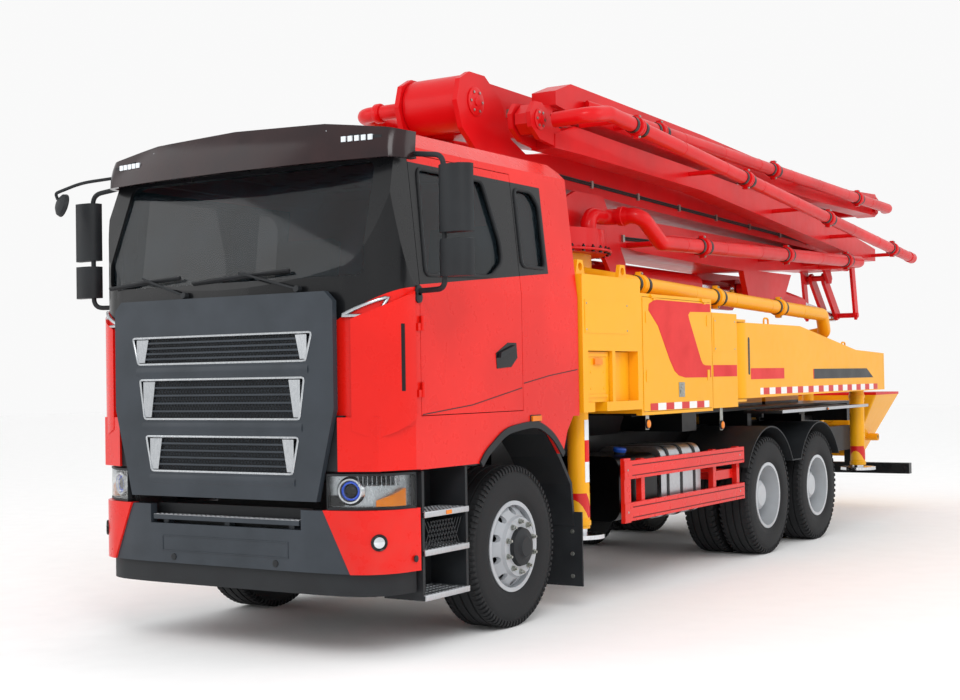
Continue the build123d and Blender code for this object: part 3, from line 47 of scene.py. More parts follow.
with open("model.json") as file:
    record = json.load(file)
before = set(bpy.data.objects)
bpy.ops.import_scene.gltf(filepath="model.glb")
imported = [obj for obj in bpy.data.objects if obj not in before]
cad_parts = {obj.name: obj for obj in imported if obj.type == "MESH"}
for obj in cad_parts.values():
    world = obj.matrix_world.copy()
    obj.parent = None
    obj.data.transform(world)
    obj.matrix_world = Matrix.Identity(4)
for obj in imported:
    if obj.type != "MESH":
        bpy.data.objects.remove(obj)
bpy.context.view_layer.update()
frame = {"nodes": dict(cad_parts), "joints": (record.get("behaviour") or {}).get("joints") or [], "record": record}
NODES = frame["nodes"]
JOINTS = {joint["name"]: joint for joint in frame["joints"]}
SLOT_OF = {part["node"]: part["material_slot"] for part in frame["record"]["subparts"]}

FRONT_AXLE = JOINTS["steer_left"]["pos_m"][1]
AXLE_HEIGHT = JOINTS["spin_front_left"]["pos_m"][2]
SIDES = (("left", 1), ("right", -1))
SIGNS = (1, -1)
REAR_STATIONS = tuple(JOINTS["spin_rear_%d_left" % number]["pos_m"][1] - FRONT_AXLE for number in (1, 2))
CAB_FRONT = -1.56
CAB_SIDE = 1.23
PANEL_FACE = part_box("grille_panel")[0].y - FRONT_AXLE


def at(station):
    """Y of a distance behind the front axle."""
    return FRONT_AXLE + station


# ---------------------------------------------------------------- materials
def linear(code):
    """sRGB hex code as a linear colour."""
    channels = [int(code[place:place + 2], 16) / 255 for place in (1, 3, 5)]
    return tuple(c / 12.92 if c <= 0.04045 else ((c + 0.055) / 1.055) ** 2.4 for c in channels) + (1.0,)


def set_node(tree, node, settings):
    """Set a node's properties and sockets by name, and link each socket whose value is another socket."""
    for name, value in settings.items():
        if isinstance(value, bpy.types.NodeSocket):
            tree.links.new(value, node.inputs[name])
        elif isinstance(name, int) or name in node.inputs:
            node.inputs[name].default_value = value
        else:
            setattr(node, name, value)


def add_node(tree, kind, settings=None, output=None):
    """Add a node with its settings and links, and give it or one of its outputs."""
    node = tree.nodes.new(kind)
    set_node(tree, node, settings or {})
    return node if output is None else node.outputs[output]


def start_material(name):
    """Empty material with its output, shader and object coordinates."""
    material = bpy.data.materials.new(name)
    material.use_nodes = True
    tree = material.node_tree
    tree.nodes.clear()
    shader = add_node(tree, "ShaderNodeBsdfPrincipled")
    add_node(tree, "ShaderNodeOutputMaterial", {"Surface": shader.outputs["BSDF"]})
    return material, tree, shader, add_node(tree, "ShaderNodeTexCoord", output="Object")


def two_tone(tree, pattern, low, high, first, second):
    """Colour that drifts between two tones as a pattern goes from low to high."""
    share = add_node(tree, "ShaderNodeMapRange", {"Value": pattern, "From Min": low, "From Max": high}, 0)
    return add_node(tree, "ShaderNodeMix", {"data_type": "RGBA", 0: share, 6: first, 7: second}, 2)


def finish_surface(tree, shader, colour, pattern, span, relief, depth, strength):
    """Link a finish's colour, its roughness over a span as a pattern goes from 0.3 to 0.7, and its bump."""
    rough = add_node(tree, "ShaderNodeMapRange", {"Value": pattern, "From Min": 0.3, "From Max": 0.7,
                                                  "To Min": span[0], "To Max": span[1]}, 0)
    bump = add_node(tree, "ShaderNodeBump", {"Strength": strength, "Distance": depth, "Height": relief}, 0)
    set_node(tree, shader, {"Base Color": colour, "Roughness": rough, "Normal": bump})


DUST = "#8C8375"


def sprayed_enamel(name, code, shade, roughness, coat):
    """Two-pack urethane over primer: an even gloss with faint orange peel, and road dust low down."""
    material, tree, shader, place = start_material(name)
    drift = add_node(tree, "ShaderNodeTexNoise", {"Vector": place, "Scale": 1.3, "Detail": 3.0}, "Fac")
    paint = two_tone(tree, drift, 0.35, 0.65, linear(code), linear(shade))
    height = add_node(tree, "ShaderNodeSeparateXYZ", {"Vector": place}, "Z")
    specks = add_node(tree, "ShaderNodeTexNoise", {"Vector": place, "Scale": 9.0, "Detail": 6.0}, "Fac")
    nearness = add_node(tree, "ShaderNodeMapRange", {"Value": height, "From Min": 1.1, "From Max": 0.2}, 0)
    cover = add_node(tree, "ShaderNodeMapRange", {"Value": specks, "From Min": 0.4, "From Max": 0.8,
                                                  "To Max": 0.16}, 0)
    dust = add_node(tree, "ShaderNodeMath", {"operation": "MULTIPLY", 0: nearness, 1: cover}, 0)
    colour = add_node(tree, "ShaderNodeMix", {"data_type": "RGBA", 0: dust, 6: paint, 7: linear(DUST)}, 2)
    peel = add_node(tree, "ShaderNodeTexNoise", {"Vector": place, "Scale": 70.0, "Detail": 1.0}, "Fac")
    finish_surface(tree, shader, colour, specks, (roughness - 0.03, roughness + 0.05), peel, 0.002, 0.012)
    set_node(tree, shader, {"Coat Weight": coat, "Coat Roughness": 0.06, "Specular IOR Level": 0.2})
    return material


def moulded(name, code, shade, roughness, grain):
    """Injection-moulded plastic or rubber: fine grain, a slightly uneven tone and soft gloss."""
    material, tree, shader, place = start_material(name)
    tone = add_node(tree, "ShaderNodeTexNoise", {"Vector": place, "Scale": 4.0, "Detail": 5.0}, "Fac")
    colour = two_tone(tree, tone, 0.35, 0.7, linear(code), linear(shade))
    cells = add_node(tree, "ShaderNodeTexVoronoi", {"Vector": place, "Scale": 420.0}, "Distance")
    finish_surface(tree, shader, colour, tone, (roughness - 0.06, roughness + 0.06), cells, 0.0008, grain)
    shader.inputs["Specular IOR Level"].default_value = 0.3
    return material


def bare_metal(name, code, shade, roughness, stretch):
    """Bare or plated metal: bright, with fine marks drawn out along one axis."""
    material, tree, shader, place = start_material(name)
    marks = add_node(tree, "ShaderNodeMapping", {"Vector": place, "Scale": stretch}, "Vector")
    lines = add_node(tree, "ShaderNodeTexNoise", {"Vector": marks, "Scale": 30.0, "Detail": 4.0}, "Fac")
    colour = two_tone(tree, lines, 0.3, 0.7, linear(code), linear(shade))
    finish_surface(tree, shader, colour, lines, (roughness - 0.05, roughness + 0.08), lines, 0.0006, 0.06)
    shader.inputs["Metallic"].default_value = 1.0
    return material


def clear_glass(name, code, roughness, share, alpha, film_code="#6F7F82"):
    """Float glass or polycarbonate: tinted through, with a faint film of dust on it."""
    material, tree, shader, place = start_material(name)
    film = add_node(tree, "ShaderNodeTexNoise", {"Vector": place, "Scale": 3.0, "Detail": 6.0}, "Fac")
    rough = add_node(tree, "ShaderNodeMapRange", {"Value": film, "From Min": 0.3, "From Max": 0.8,
                                                  "To Min": roughness, "To Max": roughness + 0.05}, 0)
    set_node(tree, shader, {"Base Color": two_tone(tree, film, 0.3, 0.8, linear(code), linear(film_code)),
                            "Roughness": rough, "Transmission Weight": share, "IOR": 1.45, "Alpha": alpha})
    return material


def woven_cloth(name, code, shade):
    """Seat cloth: a close plain weave about 2 mm a thread, drawn at 6 mm so that it shows."""
    material, tree, shader, place = start_material(name)
    weave = add_node(tree, "ShaderNodeTexWave", {"Vector": place, "Scale": 160.0, "Distortion": 1.5}, "Fac")
    colour = add_node(tree, "ShaderNodeMix", {"data_type": "RGBA", 0: weave, 6: linear(code),
                                              7: linear(shade)}, 2)
    bump = add_node(tree, "ShaderNodeBump", {"Strength": 0.3, "Distance": 0.001, "Height": weave}, 0)
    set_node(tree, shader, {"Base Color": colour, "Roughness": 0.9, "Sheen Weight": 0.3, "Normal": bump})
    return material


def banded(name, first, second, pitch, lean):
    """Retroreflective tape: bands of two colours, each half a pitch wide, over a fine bead texture."""
    material, tree, shader, place = start_material(name)
    parts = add_node(tree, "ShaderNodeSeparateXYZ", {"Vector": place}).outputs
    tilt = add_node(tree, "ShaderNodeMath", {"operation": "MULTIPLY_ADD", 0: parts["Z"], 1: lean,
                                             2: parts["Y"]}, 0)
    wrap = add_node(tree, "ShaderNodeMath", {"operation": "WRAP", 0: tilt, 1: pitch, 2: 0.0}, 0)
    step = add_node(tree, "ShaderNodeMath", {"operation": "GREATER_THAN", 0: wrap, 1: pitch / 2}, 0)
    colour = add_node(tree, "ShaderNodeMix", {"data_type": "RGBA", 0: step, 6: linear(first),
                                              7: linear(second)}, 2)
    beads = add_node(tree, "ShaderNodeTexVoronoi", {"Vector": place, "Scale": 260.0}, "Distance")
    rough = add_node(tree, "ShaderNodeMapRange", {"Value": beads, "To Min": 0.3, "To Max": 0.5}, 0)
    bump = add_node(tree, "ShaderNodeBump", {"Strength": 0.15, "Distance": 0.0006, "Height": beads}, 0)
    set_node(tree, shader, {"Base Color": colour, "Roughness": rough, "Normal": bump})
    return material


# each finish: its kind, its name and what the kind asks for, the colours as sRGB codes
FINISHES = {
    # dull grey moulding: stays one tone, so that the dark panels read as a single mass
    "dark_panel": (moulded, "moulded_abs_dark_grey", "#343A41", "#2C3238", 0.38, 0.05),
    # coarse grain that breaks up highlights on trim and flaps
    "black_plastic": (moulded, "grained_polypropylene_black", "#1B1D20", "#24272A", 0.55, 0.3),
    # sprayed black of a chassis, half shiny and dusty low down
    "chassis_black": (sprayed_enamel, "chassis_satin_black", "#17181A", "#222326", 0.5, 0.1),
    # rough cast skin with no direction to its marks
    "engine_cast": (bare_metal, "painted_casting_grey", "#55585B", "#44474A", 0.6, (1, 1, 1)),
    # panes so dark that only the sky's reflection and a hint of the seats show
    "window_glass": (clear_glass, "tinted_window_glass", "#0B1114", 0.015, 0.0, 0.62, "#1B252B"),
    # clear moulded cover that lets the lamp's works be seen
    "lamp_lens": (clear_glass, "polycarbonate_lens", "#F2F6F7", 0.02, 1.0, 0.35),
    # soft seat cloth that takes no highlight
    "cab_trim": (woven_cloth, "seat_cloth_charcoal", "#2B2C2F", "#1D1E20"),
    # pale satin metals with marks along the rolled or drawn direction
    "tank_aluminium": (bare_metal, "satin_aluminium", "#C9CBCE", "#AEB1B5", 0.34, (1, 12, 1)),
    "satin_silver": (bare_metal, "satin_chrome_trim", "#C3C6C9", "#A9ADB1", 0.28, (6, 1, 1)),
    # brownish grey steel rubbed bare where parts work against each other
    "bare_steel": (bare_metal, "worn_steel", "#77736C", "#5E5A54", 0.45, (4, 1, 1)),
    # bright plating: a sharp line of light down each rod
    "cylinder_chrome": (bare_metal, "hard_chrome_rod", "#D9DBDE", "#C4C7CB", 0.14, (1, 6, 1)),
    # silver under clear lacquer, brighter than bare steel and even all over
    "rim_silver": (sprayed_enamel, "wheel_lacquer_silver", "#B9BDC1", "#A6AAAF", 0.36, 0.5),
    # matt black rubbers, greyer where they are scuffed
    "tyre_rubber": (moulded, "tyre_rubber_black", "#18191B", "#212224", 0.72, 0.4),
    "hose_rubber": (moulded, "hydraulic_hose_rubber", "#1A1B1D", "#25272A", 0.6, 0.5),
    # near black, so that the mesh sinks behind its frames
    "grille_black": (moulded, "grille_mesh_black", "#0B0C0E", "#121316", 0.5, 0.2),
    # dull bluish plating that sets small bolts off from paint
    "zinc": (bare_metal, "zinc_plated_steel", "#B4B6B4", "#97998F", 0.4, (1, 1, 1)),
    # coloured plastics of the lamps, glossy and even
    "amber_lens": (moulded, "amber_polycarbonate", "#F08A12", "#D9700A", 0.18, 0.05),
    "lamp_white": (moulded, "white_led_window", "#E9EEF2", "#D5DCE2", 0.2, 0.02),
    "lamp_blue": (moulded, "blue_halo_ring", "#1B49D8", "#3D6BEE", 0.2, 0.02),
    # tapes whose beads dull the gloss of the vinyl
    "red_white_tape": (banded, "red_white_reflective_tape", "#CC0E10", "#E9E9E6", 0.30, 0.0),
    "hazard_tape": (banded, "red_yellow_hazard_tape", "#CC0E10", "#EFAE1B", 0.17, 0.55),
    # vinyl stripes, flatter than the paint that they lie on
    "stripe_red": (moulded, "red_vinyl_stripe", "#DC0F0C", "#CF0B0A", 0.4, 0.05),
    "stripe_black": (moulded, "black_vinyl_stripe", "#141517", "#1C1D20", 0.35, 0.05),
    # silvered backs of the mirrors, the sharpest reflection on the truck
    "mirror_silver": (bare_metal, "silvered_mirror_glass", "#DDE2E6", "#CDD3D8", 0.05, (1, 1, 1)),
    # brown-black acrylic with a hard shine
    "visor_smoke": (moulded, "smoked_acrylic_visor", "#24181A", "#2E1C1D", 0.16, 0.01),
    # black lacquer: small crisp highlights
    "black_gloss": (moulded, "gloss_black_trim", "#0E0F11", "#141518", 0.15, 0.01),
    # the dark of a groove in red paint
    "groove_shadow": (moulded, "shadowed_groove", "#6E0A0B", "#5C0809", 0.6, 0.1),
    # plain blue moulding that marks the additive tank
    "cap_blue": (moulded, "blue_tank_cap", "#1D4FB5", "#163E92", 0.4, 0.2),
}
# every material under the name of its finish, filled in by make_materials; the record's slots are looked up here
# by these names
MATERIALS = {}


def make_materials(colours):
    """Every finish on the truck: the three paints in the chosen colours, and the others."""
    cab, boom, body = colours
    MATERIALS.update({
        "cab_red": sprayed_enamel("cab_two_pack_red", cab, "#D4170E", 0.28, 0.16),
        "boom_red": sprayed_enamel("boom_enamel_red", boom, "#C90A10", 0.36, 0.12),
        "body_yellow": sprayed_enamel("body_enamel_yellow", body, "#EBA70F", 0.38, 0.1),
    })
    for name, (kind, *settings) in FINISHES.items():
        MATERIALS[name] = kind(*settings)


# ---------------------------------------------------------------- shapes
def circle(count, radius=1.0, start=0.0):
    """Points round a circle."""
    angles = [start + 2 * math.pi * step / count for step in range(count)]
    return [(radius * math.cos(angle), radius * math.sin(angle)) for angle in angles]


def skin(bm, rings, closed=False):
    """Faces between successive rings of vertices, and caps over both ends of an open run."""
    if not closed:
        bm.faces.new(rings[0])
        bm.faces.new(rings[-1][::-1])
    for first, second in zip(rings, rings[1:] + (rings[:1] if closed else [])):
        for index in range(len(first)):
            after = (index + 1) % len(first)
            bm.faces.new((first[index], first[after], second[after], second[index]))


def add_box(bm, first, second):
    """Box between two corners given in any order."""
    low, high = ([pick(pair) for pair in zip(first, second)] for pick in (min, max))
    corners = [bm.verts.new((x, y, z)) for x in (low[0], high[0]) for y in (low[1], high[1])
               for z in (low[2], high[2])]
    for face in ((0, 1, 3, 2), (4, 6, 7, 5), (0, 4, 5, 1), (2, 3, 7, 6), (0, 2, 6, 4), (1, 5, 7, 3)):
        bm.faces.new([corners[index] for index in face])


def add_prism(bm, outline, shift):
    """Solid between an outline of points and the same outline moved by shift."""
    near = [bm.verts.new(place) for place in outline]
    skin(bm, [near, [bm.verts.new(Vector(place) + Vector(shift)) for place in outline]])


def add_tube(bm, points, radius, sides=16, closed=False):
    """Round tube through points."""
    places = [Vector(place) for place in points]
    count = len(places)
    rings = []
    side = None
    for index, place in enumerate(places):
        before = places[index - 1] if index or closed else place
        after = places[(index + 1) % count] if index < count - 1 or closed else place
        along = (after - before).normalized()
        if side is None:
            side = along.orthogonal().normalized()
        side = (side - along * side.dot(along)).normalized()
        across = along.cross(side)
        rings.append([bm.verts.new(place + (side * x + across * y) * radius) for x, y in circle(sides)])
    skin(bm, rings, closed)


def add_turned(bm, profile, centre, axis, segments=48):
    """Closed profile of (along, radius) turned about an axis through centre."""
    along = Vector(axis).normalized()
    side = along.orthogonal().normalized()
    across = along.cross(side)
    skin(bm, [[bm.verts.new(Vector(centre) + along * run + (side * x + across * y) * radius)
               for run, radius in profile] for x, y in circle(segments)], closed=True)


def mirrored(profile):
    """A turned profile and its mirror image about its middle, as one outline."""
    return profile + [(-run, radius) for run, radius in reversed(profile)]


def bend(before, corner, after, reach, steps):
    """Points of the curve that rounds off the corner between two neighbours."""
    start = corner + (before - corner).normalized() * reach
    end = corner + (after - corner).normalized() * reach
    shares = [step / steps for step in range(steps + 1)]
    return [start * (1 - share) ** 2 + corner * 2 * share * (1 - share) + end * share ** 2
            for share in shares]


def rounded(points, radius, steps=5):
    """Open line of points with its inner corners rounded off."""
    places = [Vector(place) for place in points]
    line = [places[0]]
    for before, corner, after in zip(places, places[1:], places[2:]):
        reach = min(radius, (before - corner).length * 0.45, (after - corner).length * 0.45)
        line += bend(before, corner, after, reach, steps)
    return line + [places[-1]]


def rounded_loop(points, reach, steps):
    """Closed line of points with every corner rounded off."""
    places = [Vector(place) for place in points]
    return [spot for index, place in enumerate(places)
            for spot in bend(places[index - 1], place, places[(index + 1) % len(places)], reach, steps)]


def plan(corners, radius, steps):
    """Open line in a plane with its inner corners rounded off."""
    return [(place.x, place.y) for place in rounded([(x, y, 0) for x, y in corners], radius, steps)]


def soften(bm, offset):
    """Bevel every edge of a shape."""
    bmesh.ops.bevel(bm, geom=list(bm.edges), offset=offset, segments=2, affect="EDGES", profile=0.5)


def as_mesh(bm, name="shape"):
    """Mesh of a bmesh, which is freed."""
    mesh = bpy.data.meshes.new(name)
    bm.to_mesh(mesh)
    bm.free()
    return mesh


def joined(meshes):
    """One mesh out of several."""
    bm = bmesh.new()
    for mesh in meshes:
        bm.from_mesh(mesh)
    return as_mesh(bm)


def keep(name, bm, finish, body="root", sharp=35, replaces=()):
    """Keep a shape as a piece that rides on a body."""
    keep_mesh(name, as_mesh(bm, name), finish, body, sharp, replaces)


def keep_mesh(name, mesh, finish, body="root", sharp=30, replaces=()):
    """Keep a mesh as a piece: outward normals, and smooth faces that meet in sharp edges above an angle."""
    bm = bmesh.new()
    bm.from_mesh(mesh)
    bmesh.ops.remove_doubles(bm, verts=bm.verts, dist=1e-5)
    bmesh.ops.recalc_face_normals(bm, faces=bm.faces)
    for face in bm.faces:
        face.smooth = True
    for edge in bm.edges:
        edge.smooth = edge.is_manifold and edge.calc_face_angle(0.0) < math.radians(sharp)
    bm.to_mesh(mesh)
    bm.free()
    mesh.materials.clear()
    mesh.materials.append(MATERIALS[finish])
    piece = bpy.data.objects.new(name, mesh)
    bpy.context.scene.collection.objects.link(piece)
    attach(piece, body)
    if replaces:
        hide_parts(*replaces)


def pattern_tree(name, ring):
    """Node tree that repeats a mesh about the X axis through the origin, or in a row."""
    tree = bpy.data.node_groups.new(name, "GeometryNodeTree")
    for socket, way, kind in (("Shape", "INPUT", "Geometry"), ("Count", "INPUT", "Int"),
                              ("Step", "INPUT", "Vector"), ("Finish", "INPUT", "Material"),
                              ("Shape", "OUTPUT", "Geometry")):
        tree.interface.new_socket(name=socket, in_out=way, socket_type="NodeSocket" + kind)
    given = add_node(tree, "NodeGroupInput").outputs
    line = add_node(tree, "GeometryNodeMeshLine", {
        "mode": "OFFSET", "Count": given["Count"],
        "Offset": (0.0, 0.0, 0.0) if ring else given["Step"]}, "Mesh")
    copied = {"Points": line, "Instance": given["Shape"]}
    if ring:
        index = add_node(tree, "GeometryNodeInputIndex", output="Index")
        turn = add_node(tree, "ShaderNodeVectorMath", {
            "operation": "SCALE", "Vector": given["Step"], "Scale": index}, "Vector")
        copied["Rotation"] = add_node(tree, "FunctionNodeEulerToRotation", {"Euler": turn}, "Rotation")
    copies = add_node(tree, "GeometryNodeInstanceOnPoints", copied, "Instances")
    real = add_node(tree, "GeometryNodeRealizeInstances", {"Geometry": copies}, "Geometry")
    coat = add_node(tree, "GeometryNodeSetMaterial", {
        "Geometry": real, "Material": given["Finish"]}, "Geometry")
    add_node(tree, "NodeGroupOutput", {"Shape": coat})
    return tree


TREES = {}


def repeated(bm, kind, count, step, finish, move):
    """Mesh of the shape in bm repeated by a node tree, then moved into place."""
    if kind not in TREES:
        TREES[kind] = pattern_tree(kind + " of like parts", kind == "ring")
    holder = bpy.data.objects.new("unit", as_mesh(bm))
    bpy.context.scene.collection.objects.link(holder)
    modifier = holder.modifiers.new("repeat", "NODES")
    modifier.node_group = TREES[kind]
    for item in TREES[kind].interface.items_tree:
        value = {"Count": count, "Step": step, "Finish": MATERIALS[finish]}.get(item.name)
        if item.in_out == "INPUT" and value is not None:
            modifier[item.identifier] = value
    bpy.context.view_layer.update()
    result = bpy.data.meshes.new_from_object(holder.evaluated_get(bpy.context.evaluated_depsgraph_get()))
    holder.modifiers.remove(modifier)
    bpy.data.objects.remove(holder)
    result.transform(move)
    return result


def ring_of(bm, count, finish, move):
    """Mesh of a shape repeated all round the X axis, then moved into place."""
    return repeated(bm, "ring", count, (2 * math.pi / count, 0, 0), finish, move)


# ---------------------------------------------------------------- wheels
NUT_CIRCLE = 0.1675             # radius that the nuts stand on
NUT_SIZE = 0.0165
LUG_TURN = 0.03                 # each shoulder's lugs are turned this far, in opposite ways


def wheel_centre(x, station):
    """Move from the origin to a place on an axle."""
    return Matrix.Translation((x, at(station), AXLE_HEIGHT))


def tyre_meshes(x, station, settings, pitches):
    """Tyre carcass with three grooves round its tread, and the lugs set round both its edges."""
    half, top = settings.tyre_width / 2, settings.tyre_radius
    groove = top - settings.groove_depth
    profile = [(-half + inset, radius) for inset, radius in (
        (0.034, 0.291), (0.016, 0.312), (0.006, 0.345), (0.003, 0.352), (0.001, 0.40), (0.001, 0.445),
        (0.005, 0.48), (0.009, 0.486), (0.010, 0.505), (0.019, top - 0.018), (0.036, top - 0.004))]
    tread = [(middle + run, radius) for middle in (-0.07, 0.0, 0.07)
             for run, radius in ((-0.008, top), (-0.006, groove), (0.006, groove), (0.008, top))]
    carcass = bmesh.new()
    add_turned(carcass, profile + tread + [(-run, radius) for run, radius in reversed(profile)],
               (x, at(station), AXLE_HEIGHT), (1, 0, 0), 88)
    meshes = [as_mesh(carcass)]
    depth = math.pi * top / pitches * 0.95
    for sign in SIGNS:
        lug = bmesh.new()
        add_prism(lug, [(sign * (half - inset), -depth / 2, radius) for inset, radius in (
            (0.010, 0.494), (0.0015, 0.500), (0.006, top - 0.014), (0.022, top + 0.0005),
            (0.060, top + 0.0005), (0.060, top - 0.01))], (0, depth, 0))
        meshes.append(ring_of(lug, pitches, "tyre_rubber",
                              wheel_centre(x, station) @ Matrix.Rotation(sign * LUG_TURN, 4, "X")))
    return meshes


def keep_nuts(name, body, x, station, sign):
    """Hexagon nuts on their studs and washers, round a hub."""
    nut = bmesh.new()
    for sides, radius, start, end in ((6, NUT_SIZE, 0.0, 0.022), (12, NUT_SIZE * 0.55, 0.022, 0.036),
                                      (20, NUT_SIZE * 1.18, -0.001, 0.005)):
        add_prism(nut, [(sign * start, y, NUT_CIRCLE + z) for y, z in circle(sides, radius)],
                  (sign * (end - start), 0, 0))
    keep_mesh(name, ring_of(nut, 10, "zinc", wheel_centre(x, station)), "zinc", body)


def make_wheels(settings):
    """Tyres with their tread, and wheel nuts, on every wheel body."""
    for side, sign in SIDES:
        body = "wheel_front_" + side
        keep_mesh("tyre_front_%s_treaded" % side, joined(tyre_meshes(sign * 1.02, 0.0, settings, 84)),
                  "tyre_rubber", body, replaces=("tyre_front_" + side,))
        keep_nuts("wheel_nuts_front_" + side, body, sign * 1.206, 0.0, sign)
        for number, station in enumerate(REAR_STATIONS, start=1):
            name = "%d_%s" % (number, side)
            body = "wheels_rear_" + name
            twins = [mesh for x in (1.075, 0.735) for mesh in tyre_meshes(sign * x, station, settings, 60)]
            keep_mesh("tyres_rear_%s_treaded" % name, joined(twins), "tyre_rubber", body,
                      replaces=("tyres_rear_" + name,))
            keep_nuts("wheel_nuts_rear_" + name, body, sign * 0.931, station, sign)


# ---------------------------------------------------------------- cab front
INTAKES = (
    # bottom, top, half width at the bottom, half width at the top
    (1.79, 1.96, 0.69, 0.74),
    (1.44, 1.69, 0.64, 0.68),
    (1.11, 1.33, 0.58, 0.63),
)
WIRE_LEAN = 0.6                 # how far a woven wire runs sideways for its rise
WIRE_HALF = 0.0022              # half a wire's width


def half_width(intake, height):
    """Half width of an intake at a height."""
    bottom, top, low, high = intake
    return low + (high - low) * (height - bottom) / (top - bottom)


def make_grille(settings):
    """Woven mesh behind each intake, and the satin frames round them."""
    pitch = settings.mesh_pitch
    wires, frames = bmesh.new(), bmesh.new()
    depth, face = at(PANEL_FACE + 0.016), at(PANEL_FACE)
    for intake in INTAKES:
        bottom, top, low, high = intake
        reach = high + (top - bottom)
        heights = [bottom + (top - bottom) * step / 8 for step in range(9)]
        for lean in SIGNS:
            for index in range(int(2 * reach / pitch) + 1):
                base = -reach + index * pitch
                spots = [(base + lean * (height - bottom) * WIRE_LEAN, height) for height in heights]
                inside = [spot for spot in spots if abs(spot[0]) < half_width(intake, spot[1]) - 0.004]
                if len(inside) > 1:
                    corners = ((inside[0], -WIRE_HALF), (inside[0], WIRE_HALF),
                               (inside[-1], WIRE_HALF), (inside[-1], -WIRE_HALF))
                    add_prism(wires, [(spot[0] + half, depth, spot[1]) for spot, half in corners],
                              (0, 0.003, 0))
        ring = [(x, face + 0.002, z) for x, z in ((-low, bottom), (low, bottom), (high, top), (-high, top))]
        add_tube(frames, rounded_loop(ring, 0.018, 2), 0.008, 8, closed=True)
        # broad satin end pieces
        middle, tall = (bottom + top) / 2, (top - bottom) / 2 - 0.012
        for sign in SIGNS:
            edge = sign * (half_width(intake, middle) - 0.012)
            add_prism(frames, [(edge, face - 0.001, middle - tall), (edge, face - 0.001, middle + tall),
                               (edge - sign * 0.095, face + 0.008, middle + tall),
                               (edge - sign * 0.060, face + 0.008, middle - tall)], (0, 0.008, 0))
    keep("grille_mesh", wires, "grille_black")
    keep("grille_frames", frames, "satin_silver")


# ---------------------------------------------------------------- cab trim
SCREEN_FOOT = (2.23, CAB_FRONT)  # height and station
SCREEN_HEAD = (3.14, CAB_FRONT + 0.30)
FLUSH = 0.0004                  # clear of a face, so that two faces never lie in one plane
STICKER = 0.0012                # thickness of a stripe or tape
COVER = 0.0035                  # thickness of a cover plate
SHUT_LINE = 0.006               # width drawn for a gap between panels


def screen_station(height):
    """Station of the leaning screen at a height."""
    share = (height - SCREEN_FOOT[0]) / (SCREEN_HEAD[0] - SCREEN_FOOT[0])
    return SCREEN_FOOT[1] + (SCREEN_HEAD[1] - SCREEN_FOOT[1]) * share


def arc_through(first, middle, last, steps):
    """Points of the arc through three places in a plane."""
    (ax, ay), (bx, by), (cx, cy) = first, middle, last
    double = 2 * (ax * (by - cy) + bx * (cy - ay) + cx * (ay - by))
    squares = [x * x + y * y for x, y in (first, middle, last)]
    across = (squares[0] * (by - cy) + squares[1] * (cy - ay) + squares[2] * (ay - by)) / double
    along = (squares[0] * (cx - bx) + squares[1] * (ax - cx) + squares[2] * (bx - ax)) / double
    radius = math.hypot(ax - across, ay - along)
    start = math.atan2(ay - along, ax - across)
    turn = (math.atan2(cy - along, cx - across) - start + math.pi) % (2 * math.pi) - math.pi
    return [(across + radius * math.cos(start + turn * step / steps),
             along + radius * math.sin(start + turn * step / steps)) for step in range(steps + 1)]


CAB_CORNER = arc_through((0.90, -1.525), (1.13, -1.43), (1.23, -1.19), 20)
CAB_NOSE = arc_through((0.90, -1.525), (0.0, -1.56), (-0.90, -1.525), 24)[:13]


def level_on(stops, x):
    """Value at x on a line through stops of (x, value), and the last one beyond them."""
    for (low, start), (high, end) in zip(stops, stops[1:]):
        if low <= x <= high and high > low:
            return start + (end - start) * (x - low) / (high - low)
    return stops[-1][1]


def nose_station(x):
    """Station of the cab's rounded front at a distance from the middle."""
    return level_on(CAB_NOSE[::-1] + CAB_CORNER, abs(x))


def outward(line, index):
    """Unit normal of a plan line at one of its points, to the left side front."""
    before = Vector(line[max(index - 1, 0)])
    after = Vector(line[min(index + 1, len(line) - 1)])
    run = (after - before).normalized()
    return Vector((run.y, -run.x))


def add_band(bm, line, sign, levels, near, far):
    """Wall along a plan line, from near to far outside it, between two heights or those of levels(share)."""
    rows = []
    for index, place in enumerate(line):
        low, high = levels(index / (len(line) - 1)) if callable(levels) else levels
        inner, outer = (Vector(place) + outward(line, index) * reach for reach in (near, far))
        rows.append([bm.verts.new((sign * spot.x, at(spot.y), height))
                     for spot, height in ((inner, low), (outer, low), (outer, high), (inner, high))])
    skin(bm, rows)


def side_plate(bm, x, thick, outline):
    """Flat plate on a side: outline of (station, height) from x outwards by thick."""
    add_prism(bm, [(x, at(station), height) for station, height in outline], (thick, 0, 0))


def strip_outline(line, width):
    """Outline of a strip of a given width along an open line."""
    sides = [[tuple(Vector(place) + outward(line, index) * half) for index, place in enumerate(line)]
             for half in (width / 2, -width / 2)]
    return sides[0] + sides[1][::-1]


VISOR_FOOT = 2.995
VISOR_LEAN = 0.075              # how far back its top edge lies, over this rise
VISOR_RISE = 0.315
MIRROR_LEVELS = ((2.53, 2.93), (2.27, 2.49))
MIRROR_PLAN = ((1.43, 0.045), (1.65, 0.045), (1.648, 0.005), (1.60, -0.040), (1.54, -0.045),
               (1.47, -0.038), (1.434, 0.0))
ARM_FOOT = -1.188               # where the mirror arm meets the cab's side


def visor_line(sink, lean):
    """Half of the visor's plan, from the middle outwards, rounded at its corner."""
    return plan([(0.0, CAB_FRONT + 0.075 + sink + lean), (0.70, CAB_FRONT + 0.10 + sink + lean),
                 (1.17 - sink * 0.2 - lean * 0.3, CAB_FRONT + 0.17 + sink * 0.8 + lean),
                 (1.236 - sink - lean * 0.3, CAB_FRONT + 0.27 + sink * 0.3 + lean * 0.6),
                 (1.236 - sink, -1.185)], 0.2, 4)


